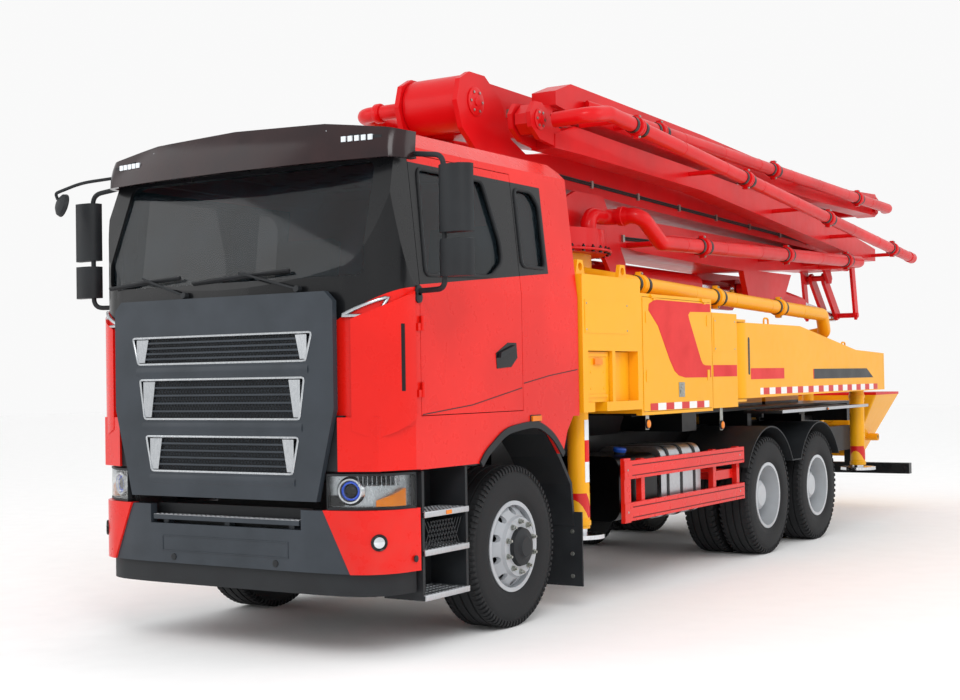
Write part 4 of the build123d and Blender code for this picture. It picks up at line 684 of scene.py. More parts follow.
def visor_front(x, lean):
    """Station of the visor's outer face at a distance from the middle and a share of its lean."""
    return CAB_FRONT + 0.10 + VISOR_LEAN * lean + max(0.0, x - 0.70) * 0.15


def crown(x):
    """Height of the visor's top edge."""
    return level_on(((0.0, 3.255), (0.70, 3.235), (1.17, 3.175), (1.27, 3.15)), abs(x))


def make_visor():
    """Sun visor with its corner lights, and the mirrors on their arms."""
    visor = bmesh.new()
    halves = [[visor_line(sink, lean) for lean in (0.0, VISOR_LEAN)] for sink in (0.004, 0.05)]
    count = len(halves[0][0])
    rows = []
    for sign, order in ((-1, range(count - 1, 0, -1)), (1, range(count))):
        for index in order:
            ring = []
            for half, steps in zip(halves, ((0.0, 0.35, 0.7, 1.0), (1.0, 0.5, 0.0))):
                foot, top = half[0][index], half[1][index]
                height = crown(foot[0]) - VISOR_FOOT
                for share in steps:
                    part = share * height / VISOR_RISE
                    x = foot[0] + (top[0] - foot[0]) * part
                    y = foot[1] + (top[1] - foot[1]) * part - 0.012 * math.sin(math.pi * share)
                    ring.append(visor.verts.new((sign * x, at(y), VISOR_FOOT + height * share)))
            rows.append(ring)
    skin(visor, rows)
    keep("sun_visor", visor, "visor_smoke", sharp=40, replaces=("visor_and_mirrors",))

    strip, lights, heads, glasses, arms, screws = (bmesh.new() for _ in range(6))
    for sign in SIGNS:
        line = [place for place in visor_line(0.0, VISOR_LEAN * 0.4) if 0.80 < place[0] < 1.12]
        add_band(strip, line, sign, lambda share: (3.095 - 0.02 * share, 3.150 - 0.02 * share),
                 -0.002, 0.008)
        for number in range(5):
            x = 0.86 + number * 0.045
            y = at(visor_front(x, 0.4))
            add_box(lights, (sign * x - 0.015, y - 0.016, 3.105), (sign * x + 0.015, y + 0.004, 3.138))
        for low, high in MIRROR_LEVELS:
            add_prism(heads, [(sign * x, at(-1.25 + y), low) for x, y in MIRROR_PLAN], (0, 0, high - low))
            add_box(glasses, (sign * 1.445, at(-1.205), low + 0.018),
                    (sign * 1.635, at(-1.2035), high - 0.018))
        path = [(sign * x, at(y), z) for x, y, z in (
            (1.20, -1.19, 3.03), (1.47, -1.25, 2.99), (1.47, -1.25, 2.20), (1.30, ARM_FOOT, 2.20),
            (1.232, ARM_FOOT, 2.20))]
        add_tube(arms, rounded(path, 0.07, 6), 0.0165, 14)
        for height in (2.20, 2.16):
            add_turned(arms, [(0.0, 0.0), (0.0, 0.034), (0.010, 0.034), (0.014, 0.028), (0.014, 0.0)],
                       (sign * 1.232, at(ARM_FOOT), height), (sign, 0, 0), 20)
        for x in (0.35, 0.72, 1.0):
            add_turned(screws, [(0.0, 0.0), (0.0, 0.011), (0.004, 0.008), (0.005, 0.0)],
                       (sign * x, at(visor_front(x, 0.75) - 0.004), crown(x) - 0.05), (0, -1, 0.2), 14)
    keep("visor_light_bezels", strip, "black_plastic")
    keep("visor_lights", lights, "lamp_white")
    keep("visor_screws", screws, "satin_silver")
    keep("mirror_heads", heads, "black_plastic", sharp=50)
    keep("mirror_glasses", glasses, "mirror_silver")
    keep("mirror_arms", arms, "black_plastic")


LAMP_LINE = [(0.822, -1.579), (0.91, -1.5497), (1.00, -1.5197), (1.09, -1.4505), (1.173, -1.386),
             (1.205, -1.30), (1.229, -1.232)]
LAMP_HEIGHTS = (0.902, 1.116)


def make_headlamps():
    """Headlamp units behind clear lenses."""
    housing, lens, rims, chrome, dark, blue, amber, facets = (bmesh.new() for _ in range(8))
    low, high = LAMP_HEIGHTS
    line = LAMP_LINE
    for sign in SIGNS:
        add_band(housing, line, sign, (low + 0.002, high - 0.002), -0.085, -0.052)
        add_band(lens, line, sign, (low + 0.012, high - 0.012), -0.007, -0.003)
        for edge in ((low, low + 0.014), (high - 0.014, high)):
            add_band(rims, line, sign, edge, -0.085, -0.001)
        for index, width in ((0, 0.006), (len(line) - 1, -0.006)):
            normal = outward(line, index)
            start, end = (Vector(line[index]) - normal * depth for depth in (0.085, 0.001))
            run = Vector((-normal.y, normal.x)) * width
            corners = (start, end, end + run, start + run)
            add_prism(rims, [(sign * spot.x, at(spot.y), low) for spot in corners], (0, 0, high - low))
        # projector with its rings, set back from the lens along the way it faces
        normal = Vector((0.316, -0.949))
        middle = Vector((0.955, -1.5347)) - normal * 0.05
        centre = (sign * middle.x, at(middle.y), (low + high) / 2 + 0.004)
        axis = (sign * normal.x, normal.y, 0)
        add_turned(chrome, [(0.0, 0.052), (0.0, 0.086), (0.012, 0.088), (0.034, 0.074), (0.036, 0.064),
                            (0.014, 0.050)], centre, axis, 40)
        add_turned(blue, [(0.012, 0.046), (0.012, 0.053), (0.022, 0.053), (0.022, 0.046)], centre, axis, 40)
        add_turned(dark, [(0.0, 0.0), (0.0, 0.044), (0.012, 0.044), (0.028, 0.032), (0.036, 0.016),
                          (0.038, 0.0)], centre, axis, 32)
        add_band(amber, line[3:6], sign, lambda share: (low + 0.018, low + 0.052 + 0.07 * share),
                 -0.045, -0.010)
        add_band(dark, line[:2], sign, (low + 0.02, low + 0.085), -0.050, -0.030)
        for number in range(9):
            spot = Vector(line[2]).lerp(Vector(line[4]), number / 8)
            add_box(facets, (sign * spot.x - 0.002, at(spot.y) + 0.016, high - 0.075),
                    (sign * spot.x + 0.002, at(spot.y) + 0.060, high - 0.015))
    keep("headlamp_reflectors", housing, "satin_silver", replaces=("headlamps",))
    keep("headlamp_frames", rims, "black_plastic")
    keep("headlamp_projector_rings", chrome, "cylinder_chrome")
    keep("headlamp_halos", blue, "lamp_blue")
    keep("headlamp_projectors", dark, "black_gloss")
    keep("headlamp_indicators", amber, "amber_lens")
    keep("headlamp_ribs", facets, "satin_silver")
    keep("headlamp_lenses", lens, "lamp_lens")


def fin_levels(share):
    """Lower and upper edge of the corner fin, from the grille outwards."""
    return 1.33 + 0.20 * abs(share - 0.35) ** 1.5, 2.03 + 0.165 * share


def make_cab_front():
    """Wipers, corner fins, bright trims, panel ledges and the tread of the step board."""
    fins, slots, trims, insides, arms, blades, ledges, backs = (bmesh.new() for _ in range(8))
    ring = [Vector(place) for place in ((0.915, 2.050), (1.170, 2.160), (1.120, 2.050))]
    loop = [place.lerp(after, share) for place, after in zip(ring, ring[1:] + ring[:1])
            for share in (0.06, 0.2, 0.35, 0.5, 0.65, 0.8, 0.94)]
    for sign in SIGNS:
        add_band(fins, CAB_CORNER[3:19], sign, fin_levels, -0.004, 0.026)
        add_band(slots, CAB_CORNER[14:16], sign, (1.60, 2.00), 0.0255, 0.0268)
        add_tube(trims, [(sign * spot.x, at(nose_station(spot.x) - 0.016), spot.y) for spot in loop],
                 0.011, 10, closed=True)
        add_prism(insides, [(sign * spot.x, at(nose_station(spot.x) - 0.014), spot.y) for spot in ring],
                  (0, 0.020, 0))
        add_box(backs, (sign * 0.74, at(-1.552), 1.13), (sign * 0.93, at(-1.47), 1.46))
    # ledge under each intake
    for bottom, _, low, _ in INTAKES:
        wide = low + 0.02
        add_prism(ledges, [(-wide, at(PANEL_FACE - out), bottom - drop) for out, drop in (
            (0.0, 0.022), (0.006, 0.045), (0.006, 0.062), (0.0, 0.078))], (2 * wide, 0, 0))
    # wipers, each from its pivot to the near end of its blade
    for x, reach in ((-0.30, -0.62), (0.62, -0.78)):
        pivot = Vector((x, at(screen_station(2.225) - 0.020), 2.222))
        middle = Vector((x + reach * 0.62, at(screen_station(2.335) - 0.030), 2.347))
        add_turned(arms, [(-0.018, 0.0), (-0.018, 0.024), (0.012, 0.020), (0.014, 0.0)], pivot,
                   (0, -1, 0.2), 20)
        add_tube(arms, [pivot, pivot.lerp(middle, 0.3), middle], 0.008, 10)
        start, end = (Vector((x + reach * share, at(screen_station(height) - 0.016), height))
                      for share, height in ((1.12, 2.300), (0.12, 2.345)))
        add_tube(blades, [start, start.lerp(end, 0.5) + Vector((0, -0.006, 0.004)), end], 0.009, 8)
        lip = Vector((0, 0.012, -0.004))
        add_prism(blades, [start, end, end + lip, start + lip], (0, 0, -0.012))
    keep("corner_fins", fins, "cab_red", sharp=40)
    keep("corner_fin_slots", slots, "black_gloss")
    keep("bright_corner_trims", trims, "satin_silver")
    keep("corner_trim_backs", insides, "black_plastic")
    keep("panel_corner_backs", backs, "black_plastic")
    keep("wiper_arms", arms, "black_plastic")
    keep("wiper_blades", blades, "hose_rubber")
    keep("panel_ledges", ledges, "dark_panel")

    # tread of the step board, and the sensors beside it
    unit, plate, dots = bmesh.new(), bmesh.new(), bmesh.new()
    add_prism(unit, [(-0.014, 0.0, 0.0), (0.0, -0.005, 0.0), (0.014, 0.0, 0.0), (0.0, 0.005, 0.0)],
              (0, 0, 0.003))
    rows = [repeated(unit.copy(), "row", 30, (0.040, 0, 0), "tank_aluminium",
                     Matrix.Translation((-0.58 + 0.02 * (row % 2), at(-1.555 + 0.018 * row), 0.8305)))
            for row in range(3)]
    unit.free()
    add_box(plate, (-0.600, at(-1.5695), 0.8292), (0.600, at(-1.501), 0.8308))
    keep_mesh("step_board_tread", joined(rows + [as_mesh(plate)]), "tank_aluminium")
    for x in (-0.42, 0.42):
        add_turned(dots, [(0.0, 0.0), (0.0, 0.022), (0.006, 0.020), (0.008, 0.0)],
                   (x, at(-1.59 + 0.0145), 0.565), (0, -1, 0), 24)
    keep("parking_sensors", dots, "black_plastic")


DOOR_WINDOW = ((-1.095, 2.30), (-1.075, 2.96), (-0.33, 2.96), (-0.18, 2.56), (-0.18, 2.43), (-0.33, 2.33))
QUARTER_WINDOW = ((0.075, 2.42), (0.075, 2.95), (0.30, 2.95), (0.39, 2.86), (0.39, 2.42))


def cab_side_x(height):
    """Half width of the cab at a height: upright to the belt, then leaning in."""
    return CAB_SIDE - max(0.0, height - 2.23) * 0.09 / 0.86


def make_cab_sides():
    """Window seals, door handles, wheel-arch lips, marker lamps and shut lines."""
    lips, lamps, seams, bases = (bmesh.new() for _ in range(4))
    arch = plan([(-0.515, 1.118), (-0.445, 1.185), (-0.21, 1.318), (0.0, 1.343), (0.215, 1.355),
                 (0.425, 1.263), (0.566, 1.125)], 0.12, 4)
    for side, sign in SIDES:
        door = "door_" + side
        for name, outline, body in (("door", DOOR_WINDOW, door), ("quarter", QUARTER_WINDOW, "root")):
            seal = bmesh.new()
            places = [(sign * (cab_side_x(z) + 0.001), at(y), z) for y, z in outline]
            add_tube(seal, rounded_loop(places, 0.05, 4), 0.013, 8, closed=True)
            keep("%s_window_seal_%s" % (name, side), seal, "hose_rubber", body)
        recess, grip, line = bmesh.new(), bmesh.new(), bmesh.new()
        x = sign * (CAB_SIDE + FLUSH)
        side_plate(recess, x, sign * 0.003, [(-0.30, 1.73), (-0.31, 1.83), (-0.16, 1.90), (-0.05, 1.90),
                                             (-0.04, 1.80), (-0.12, 1.74)])
        side_plate(grip, x + sign * 0.003, sign * 0.018, [(-0.28, 1.80), (-0.27, 1.835), (-0.09, 1.885),
                                                          (-0.075, 1.85)])
        side_plate(line, x, sign * STICKER,
                   strip_outline([(-1.155, 1.455), (-0.6, 1.50), (0.02, 1.60)], SHUT_LINE))
        keep("door_handle_recess_" + side, recess, "black_gloss", door)
        keep("door_handle_" + side, grip, "black_plastic", door, sharp=50)
        keep("door_shut_line_" + side, line, "black_plastic", door)
        side_plate(seams, x, sign * STICKER,
                   strip_outline([(0.045, 1.63), (0.40, 1.68), (0.80, 1.72)], SHUT_LINE))
        side_plate(lips, sign * 1.2305, sign * 0.012, strip_outline(arch, 0.045))
        add_box(lamps, (sign * 1.232, at(0.13), 1.372), (sign * 1.2475, at(0.25), 1.408))
        add_box(bases, (sign * 1.2302, at(0.12), 1.366), (sign * 1.234, at(0.26), 1.414))
    keep("wheel_arch_lips", lips, "black_plastic")
    keep("wing_marker_bases", bases, "black_plastic")
    keep("wing_marker_lamps", lamps, "amber_lens")
    keep("cab_side_shut_lines", seams, "black_plastic")


def make_steps():
    """Aluminium treads on the cab steps, their markers and side meshes, and the mud flaps' bolts."""
    meshes = []
    markers, grid, flaps = bmesh.new(), bmesh.new(), bmesh.new()
    for sign in SIGNS:
        for level, width in ((0.350, 0.30), (0.620, 0.28), (0.850, 0.22)):
            plate = bmesh.new()
            top = level + 0.015
            add_box(plate, (sign * (1.238 - width), at(-1.160), top - 0.032),
                    (sign * 1.238, at(-0.672), top + 0.004))
            soften(plate, 0.003)
            meshes.append(as_mesh(plate))
            for row in range(5):
                unit = bmesh.new()
                add_prism(unit, [(0.0, -0.013, 0.0), (0.005, 0.0, 0.0), (0.0, 0.013, 0.0),
                                 (-0.005, 0.0, 0.0)], (0, 0, 0.003))
                start = (sign * (1.225 - row * width / 5), at(-1.14 + 0.018 * (row % 2)), top + 0.0036)
                meshes.append(repeated(unit, "row", 12, (0, 0.037, 0), "tank_aluminium",
                                       Matrix.Translation(start)))
        add_box(markers, (sign * 1.2375, at(-0.93), 0.838), (sign * 1.2405, at(-0.87), 0.862))
        low, high = 0.645, 0.805
        for number in range(16):
            for shift in (0.09, -0.09):
                first = -1.13 + number * 0.032 - 0.1
                last = first + shift
                if min(first, last) > -1.135 and max(first, last) < -0.70:
                    side_plate(grid, sign * 1.205, sign * 0.004,
                               [(first, low), (first + 0.008, low), (last + 0.008, high), (last, high)])
        for height in (0.24, 0.40, 0.56):
            for x in (0.95, 1.16):
                add_turned(flaps, [(0.0, 0.0), (0.0, 0.016), (0.004, 0.014), (0.006, 0.0)],
                           (sign * x, at(0.8078), height), (0, -1, 0), 14)
    keep_mesh("step_treads", joined(meshes), "tank_aluminium")
    keep("step_markers", markers, "amber_lens")
    keep("step_side_mesh", grid, "black_plastic")
    keep("flap_bolts", flaps, "zinc")


# ---------------------------------------------------------------- body trim
SWOOSH = ((1.95, 2.18), (1.96, 2.23), (2.07, 2.268), (3.155, 2.268), (3.155, 2.20), (2.74, 2.19),
          (2.705, 2.165), (2.72, 2.13), (2.95, 1.79), (2.985, 1.758), (3.03, 1.748), (3.155, 1.746),
          (3.155, 1.645), (2.62, 1.647), (2.50, 1.665), (2.42, 1.70), (2.33, 1.79), (2.12, 2.06))
DOOR_FACE = 1.244               # half widths of the faces that carry stripes
LOCKER_FACE = 1.24
ARM_FACE = 1.245


def rectangle(start, end, low, high):
    """Outline of an upright rectangle on a side."""
    return [(start, low), (end, low), (end, high), (start, high)]


def screw_row(bm, sign, x, places, radius=0.011):
    """Pan-head screws on a side face."""
    for station, height in places:
        add_turned(bm, [(0.0, 0.0), (0.0, radius), (0.003, radius * 0.8), (0.0045, 0.0)],
                   (sign * x, at(station), height), (sign, 0, 0), 14)


def marker_lamp(lens, rim, sign, x, station, height, radius):
    """Round side marker: a ring with a domed lens."""
    centre = (sign * x, at(station), height)
    add_turned(rim, [(0.0, 0.0), (0.0, radius + 0.008), (0.012, radius + 0.005), (0.012, 0.0)], centre,
               (sign, 0, 0), 28)
    add_turned(lens, [(0.010, 0.0), (0.010, radius), (0.017, radius * 0.9), (0.022, radius * 0.5),
                      (0.023, 0.0)], centre, (sign, 0, 0), 28)


def make_body_trim():
    """Stripes, reflective tape, cover plates, latch, marker lamps and the walkway's edge."""
    plates, screws, stripes, brackets, lenses, rims, edging = (bmesh.new() for _ in range(7))
    for side, sign in SIDES:
        body, reach = ("storage_door", DOOR_FACE) if side == "left" else ("root", LOCKER_FACE)
        x = sign * (reach + FLUSH)
        for name, finish, outline in (
                ("swoosh", "stripe_red", SWOOSH),
                ("locker_tape", "red_white_tape", rectangle(1.96, 3.10, 1.394, 1.450))):
            strip = bmesh.new()
            side_plate(strip, x, sign * STICKER, outline)
            keep("%s_%s" % (name, side), strip, finish, body)
        latch, hinges = bmesh.new(), bmesh.new()
        add_box(latch, (x, at(2.495), 1.49), (x + sign * 0.004, at(2.605), 1.61))
        soften(latch, 0.0015)
        add_turned(latch, [(0.0, 0.0), (0.0, 0.020), (0.008, 0.018), (0.008, 0.0)],
                   (x + sign * 0.003, at(2.55), 1.575), (sign, 0, 0), 24)
        add_box(latch, (x + sign * 0.003, at(2.515), 1.515), (x + sign * 0.010, at(2.585), 1.545))
        for height in (1.62, 2.08):
            for start in (1.895, 3.075):
                add_box(hinges, (x, at(start), height), (x + sign * 0.004, at(start + 0.05), height + 0.09))
        keep("locker_latch_" + side, latch, "zinc", body)
        keep("locker_hinge_leaves_" + side, hinges, "body_yellow", body)

        for x, start, end, low, high in ((1.25, 0.885, 1.585, 1.985, 2.225),
                                         (LOCKER_FACE, 3.235, 3.715, 1.865, 2.155)):
            side_plate(plates, sign * (x + FLUSH), sign * COVER, rectangle(start, end, low, high))
            screw_row(screws, sign, x + COVER,
                      rectangle(start + 0.025, end - 0.025, low + 0.025, high - 0.025), 0.008)
        side_plate(stripes, sign * (LOCKER_FACE + FLUSH), sign * STICKER,
                   rectangle(3.215, 3.735, 1.65, 1.75))
        for station, height in ((1.97, 1.29), (3.44, 1.23)):
            add_box(brackets, (sign * 1.205, at(station - 0.03), height - 0.045),
                    (sign * 1.210, at(station + 0.03), height + 0.15))
            marker_lamp(lenses, rims, sign, 1.210, station, height, 0.033)
        marker_lamp(lenses, rims, sign, 1.2495, 6.07, 1.302, 0.010)
        side_plate(edging, sign * (1.25 + FLUSH), sign * COVER, rectangle(4.805, 7.425, 1.291, 1.320))
        add_box(edging, (sign * 1.218, at(4.805), 1.3155), (sign * 1.2535, at(7.425), 1.3195))
    keep("cover_plates", plates, "body_yellow")
    keep("cover_screws", screws, "zinc")
    keep("hinge_housing_stripes", stripes, "stripe_red")
    keep("marker_brackets", brackets, "zinc")
    keep("marker_lamp_lenses", lenses, "amber_lens")
    keep("marker_lamp_rims", rims, "black_plastic")
    keep("walkway_edging", edging, "tank_aluminium")


GUARD_FACE = 1.225
GUARD_RAILS = ((0.56, 0.70), (0.88, 1.02))      # lower and upper edge of each rail


def make_tanks():
    """Straps and cap of the tanks, and the shadowed grooves and bolts of the side guards."""
    straps, cap, necks, groove, bolts = (bmesh.new() for _ in range(5))
    ring = [(0.56, 0.51), (1.13, 0.51), (1.13, 1.09), (0.56, 1.09)]
    line = [Vector(place) for place in plan(ring + ring[:1], 0.09, 6)]
    outer = [Vector((0.845 + (spot.x - 0.845) * 1.012, 0.80 + (spot.y - 0.80) * 1.012)) for spot in line]
    for sign, places in ((1, (2.50, 2.76, 3.02)), (-1, (2.05, 2.48, 2.90))):
        for station in places:
            for corners in zip(line, line[1:], outer[1:], outer):
                add_prism(straps, [(sign * spot.x, at(station - 0.022), spot.y) for spot in corners],
                          (0, 0.044, 0))
        for low, high in GUARD_RAILS:
            for height in (low + 0.026, high - 0.036):
                side_plate(groove, sign * (GUARD_FACE + FLUSH), sign * 0.0010,
                           rectangle(1.66, 3.88, height - 0.004, height + 0.004))
            middle = (low + high) / 2
            screw_row(bolts, sign, GUARD_FACE + FLUSH, ((1.585, middle), (3.80, middle)), 0.009)
    centre = (0.97, at(1.95), surface_top("side_tanks", 0.97, 1.95, 1.05) + 0.018)
    add_turned(cap, [(0.0, 0.0), (0.0, 0.050), (0.022, 0.054), (0.034, 0.048), (0.040, 0.0)], centre,
               (0.15, 0, 1), 30)
    add_turned(necks, [(-0.03, 0.0), (-0.03, 0.042), (0.002, 0.042), (0.002, 0.0)], centre, (0.15, 0, 1), 24)
    keep("tank_straps", straps, "black_plastic")
    keep("tank_cap", cap, "cap_blue")
    keep("tank_neck", necks, "black_plastic")
    keep("guard_grooves", groove, "groove_shadow")
    keep("guard_bolts", bolts, "zinc")


JACK_TUBE_RADIUS = 0.08
FRONT_JACKS = {"left": 1.12, "right": 1.55}     # stations
JACK_BANDS = (("lamp_white", 0.89, 1.04), ("stripe_red", 1.04, 1.20), ("lamp_white", 1.20, 1.35))


def tape_sleeve(bm, x, station, low, high, facing, spread):
    """Strip of tape bent round a jack's tube, as wide as an angle either side of where it faces."""
    near, far = ([(x + reach * math.cos(angle), at(station) + reach * math.sin(angle), low)
                  for angle in [facing + spread * (2 * step / 14 - 1) for step in range(15)]]
                 for reach in (JACK_TUBE_RADIUS + FLUSH, JACK_TUBE_RADIUS + FLUSH + STICKER))
    add_prism(bm, near + far[::-1], (0, 0, high - low))


def make_jacks():
    """Tape and collars of the four jacks, and the lamps, ribs and screws of the front beams' ends."""
    for side, sign in SIDES:
        facing = 0.0 if sign > 0 else math.pi
        for name, x, station, bands, hazard, top in (
                ("front_beam_", 1.05, FRONT_JACKS[side], JACK_BANDS, (0.63, 0.81), 1.46),
                ("rear_arm_", 1.08, 7.56, (), (0.70, 0.85), 1.42)):
            body = name + side
            hazards, collar = bmesh.new(), bmesh.new()
            tape_sleeve(hazards, sign * x, station, hazard[0], hazard[1], facing, 2.6)
            keep(body + "_hazard_tape", hazards, "hazard_tape", body)
            for number, (finish, low, high) in enumerate(bands):
                strip = bmesh.new()
                tape_sleeve(strip, sign * x, station, low, high, facing, 0.42)
                keep("%s_tape_%d" % (body, number), strip, finish, body)
            for low, high in ((hazard[0] - 0.06, hazard[0] - 0.02), (top - 0.04, top)):
                add_turned(collar, [(low, 0.079), (low, 0.084), (low + 0.005, 0.088),
                                    (high - 0.005, 0.088), (high, 0.084), (high, 0.079)],
                           (sign * x, at(station), 0.0), (0, 0, 1), 40)
            keep(body + "_jack_collars", collar, "body_yellow", body)
        body = "front_beam_" + side
        station = FRONT_JACKS[side]
        face = outer_skin(body, sign, station, 1.76, 1.24)
        lamp, cap = bmesh.new(), bmesh.new()
        add_box(lamp, (sign * face, at(station - 0.06), 1.755),
                (sign * (face + 0.018), at(station + 0.06), 1.80))
        for height in (1.515, 1.815):
            add_box(cap, (sign * (face - 0.001), at(station - 0.15), height),
                    (sign * (face + 0.008), at(station + 0.15), height + 0.022))
        screw_row(cap, sign, face, rectangle(station - 0.10, station + 0.10, 1.58, 1.70), 0.010)
        keep(body + "_marker", lamp, "amber_lens", body)
        keep(body + "_end_ribs", cap, "body_yellow", body)


def make_arms():
    """Stripes, tape, slots and lifting eyes of the swinging rear arms."""
    for side, sign in SIDES:
        body = "rear_arm_" + side
        for name, finish, outlines in (
                ("stripe", "stripe_red", (rectangle(4.05, 4.89, 1.62, 1.72),
                                          rectangle(5.70, 5.72, 1.61, 1.71))),
                ("bar", "stripe_black", ([(5.72, 1.61), (7.65, 1.61), (7.42, 1.71), (5.72, 1.71)],)),
                ("tape", "red_white_tape", (rectangle(4.27, 7.80, 1.478, 1.540),)),
                ("slot", "black_gloss", (rounded_slot(3.99, 4.03, 1.66, 2.00),))):
            strip = bmesh.new()
            for outline in outlines:
                side_plate(strip, sign * (ARM_FACE + FLUSH), sign * STICKER, outline)
            keep("%s_%s" % (body, name), strip, finish, body)
        eyes = bmesh.new()
        for station in (4.66, 6.90):
            height = surface_top("rear_arm_left", 1.16, station, 2.10)
            add_tube(eyes, rounded([(sign * 1.16, at(station + along), height + up) for along, up in (
                (-0.055, -0.01), (-0.055, 0.06), (0.055, 0.06), (0.055, -0.01))], 0.045, 6), 0.009, 10)
        keep(body + "_lifting_eyes", eyes, "body_yellow", body)


def rounded_slot(start, end, low, high):
    """Outline of an upright slot with round ends."""
    radius, middle = (end - start) / 2, (start + end) / 2
    return [(middle + radius * math.cos(first + math.pi * step / 8),
             centre + radius * math.sin(first + math.pi * step / 8))
            for centre, first in ((high - radius, 0.0), (low + radius, math.pi)) for step in range(9)]


def first_hit(node, start, way):
    """Place where a ray first meets a node's surface, or nothing."""
    item = NODES[node]
    inverse = item.matrix_world.inverted()
    hit, place, _, _ = item.ray_cast(inverse @ Vector(start), (inverse.to_3x3() @ Vector(way)).normalized())
    return item.matrix_world @ place if hit else None


def surface_top(node, x, station, default):
    """Height of a node's upper skin above a place."""
    place = first_hit(node, (x, at(station), 6.0), (0, 0, -1))
    return place.z if place else default


def outer_skin(node, sign, station, height, default):
    """Half width of a node's outermost skin at a place on a side."""
    place = first_hit(node, (sign * 3.0, at(station), height), (-sign, 0, 0))
    return sign * place.x if place else default


# ---------------------------------------------------------------- boom
BOOM_PIPES = (
    # body, x, first station and height, last station and height, radius, couplings
    ("boom_1", 0.80, (3.15, 2.82), (8.70, 2.98), 0.068, (0.16, 0.55, 0.90)),
    ("boom_4", 0.85, (2.15, 3.78), (9.65, 3.70), 0.060, (0.12, 0.48, 0.84)),
    ("boom_5", 1.08, (1.65, 3.70), (9.85, 3.08), 0.060, (0.06, 0.34, 0.62, 0.90)),
    ("root", 1.00, (1.96, 2.415), (6.70, 2.29), 0.068, (0.07, 0.40, 0.73)),
)


def make_pipes():
    """Bolted couplings, painted bands and weld seams along the delivery line."""
    across = Vector((1, 0, 0))
    for body, x, first, last, radius, shares in BOOM_PIPES:
        start, end = (Vector((x, at(station), height)) for station, height in (first, last))
        along = (end - start).normalized()
        lift = along.cross(across)
        rings, bolts, bands, seams = (bmesh.new() for _ in range(4))
        for share in shares:
            centre = start.lerp(end, share)
            add_turned(rings, mirrored([(-0.034, radius - 0.001), (-0.034, radius + 0.010),
                                        (-0.026, radius + 0.018), (-0.008, radius + 0.018),
                                        (-0.004, radius + 0.013)]), centre, along, 36)
            for side in SIGNS:
                spot = centre + lift * side * (radius + 0.022)
                near = spot - along * 0.018
                add_prism(rings, [near + across * wide + lift * tall for wide, tall in (
                    (-0.022, -0.014), (0.022, -0.014), (0.022, 0.014), (-0.022, 0.014))], along * 0.036)
                add_turned(bolts, mirrored([(-0.034, 0.0), (-0.034, 0.009), (-0.026, 0.012)]), spot,
                           across, 6)
            for offset in (-0.085, 0.085):
                add_turned(bands, mirrored([(-0.020, radius + 0.0004), (-0.020, radius + 0.006)]),
                           centre + along * offset, along, 32)
        for number in range(int((end - start).length / 0.9)):
            add_turned(seams, mirrored([(-0.004, radius - 0.001), (-0.003, radius + 0.0018)]),
                       start + along * (0.45 + 0.9 * number), along, 32)
        paint = "boom_red" if body != "root" else "body_yellow"
        keep("pipe_couplings_" + body, rings, paint, body)
        keep("pipe_coupling_bolts_" + body, bolts, "zinc", body)
        keep("pipe_bands_" + body, bands, "stripe_black", body)
        keep("pipe_welds_" + body, seams, paint, body)


PIN_COVERS = (
    # name, body that carries the pin, station, height, outer faces, radius
    ("turret_pin", "turret", 2.750, 3.030, (0.331, -0.331), 0.085),
    ("rear_knuckle", "boom_1", 9.750, 3.120, (0.300, -0.300), 0.095),
    ("head_knuckle", "boom_2", 0.980, 3.780, (0.264, -0.264), 0.110),
    ("rear_side_joint", "boom_3", 9.600, 3.750, (0.720,), 0.095),
    ("front_side_joint", "boom_5", 1.250, 3.640, (0.695,), 0.080),
)


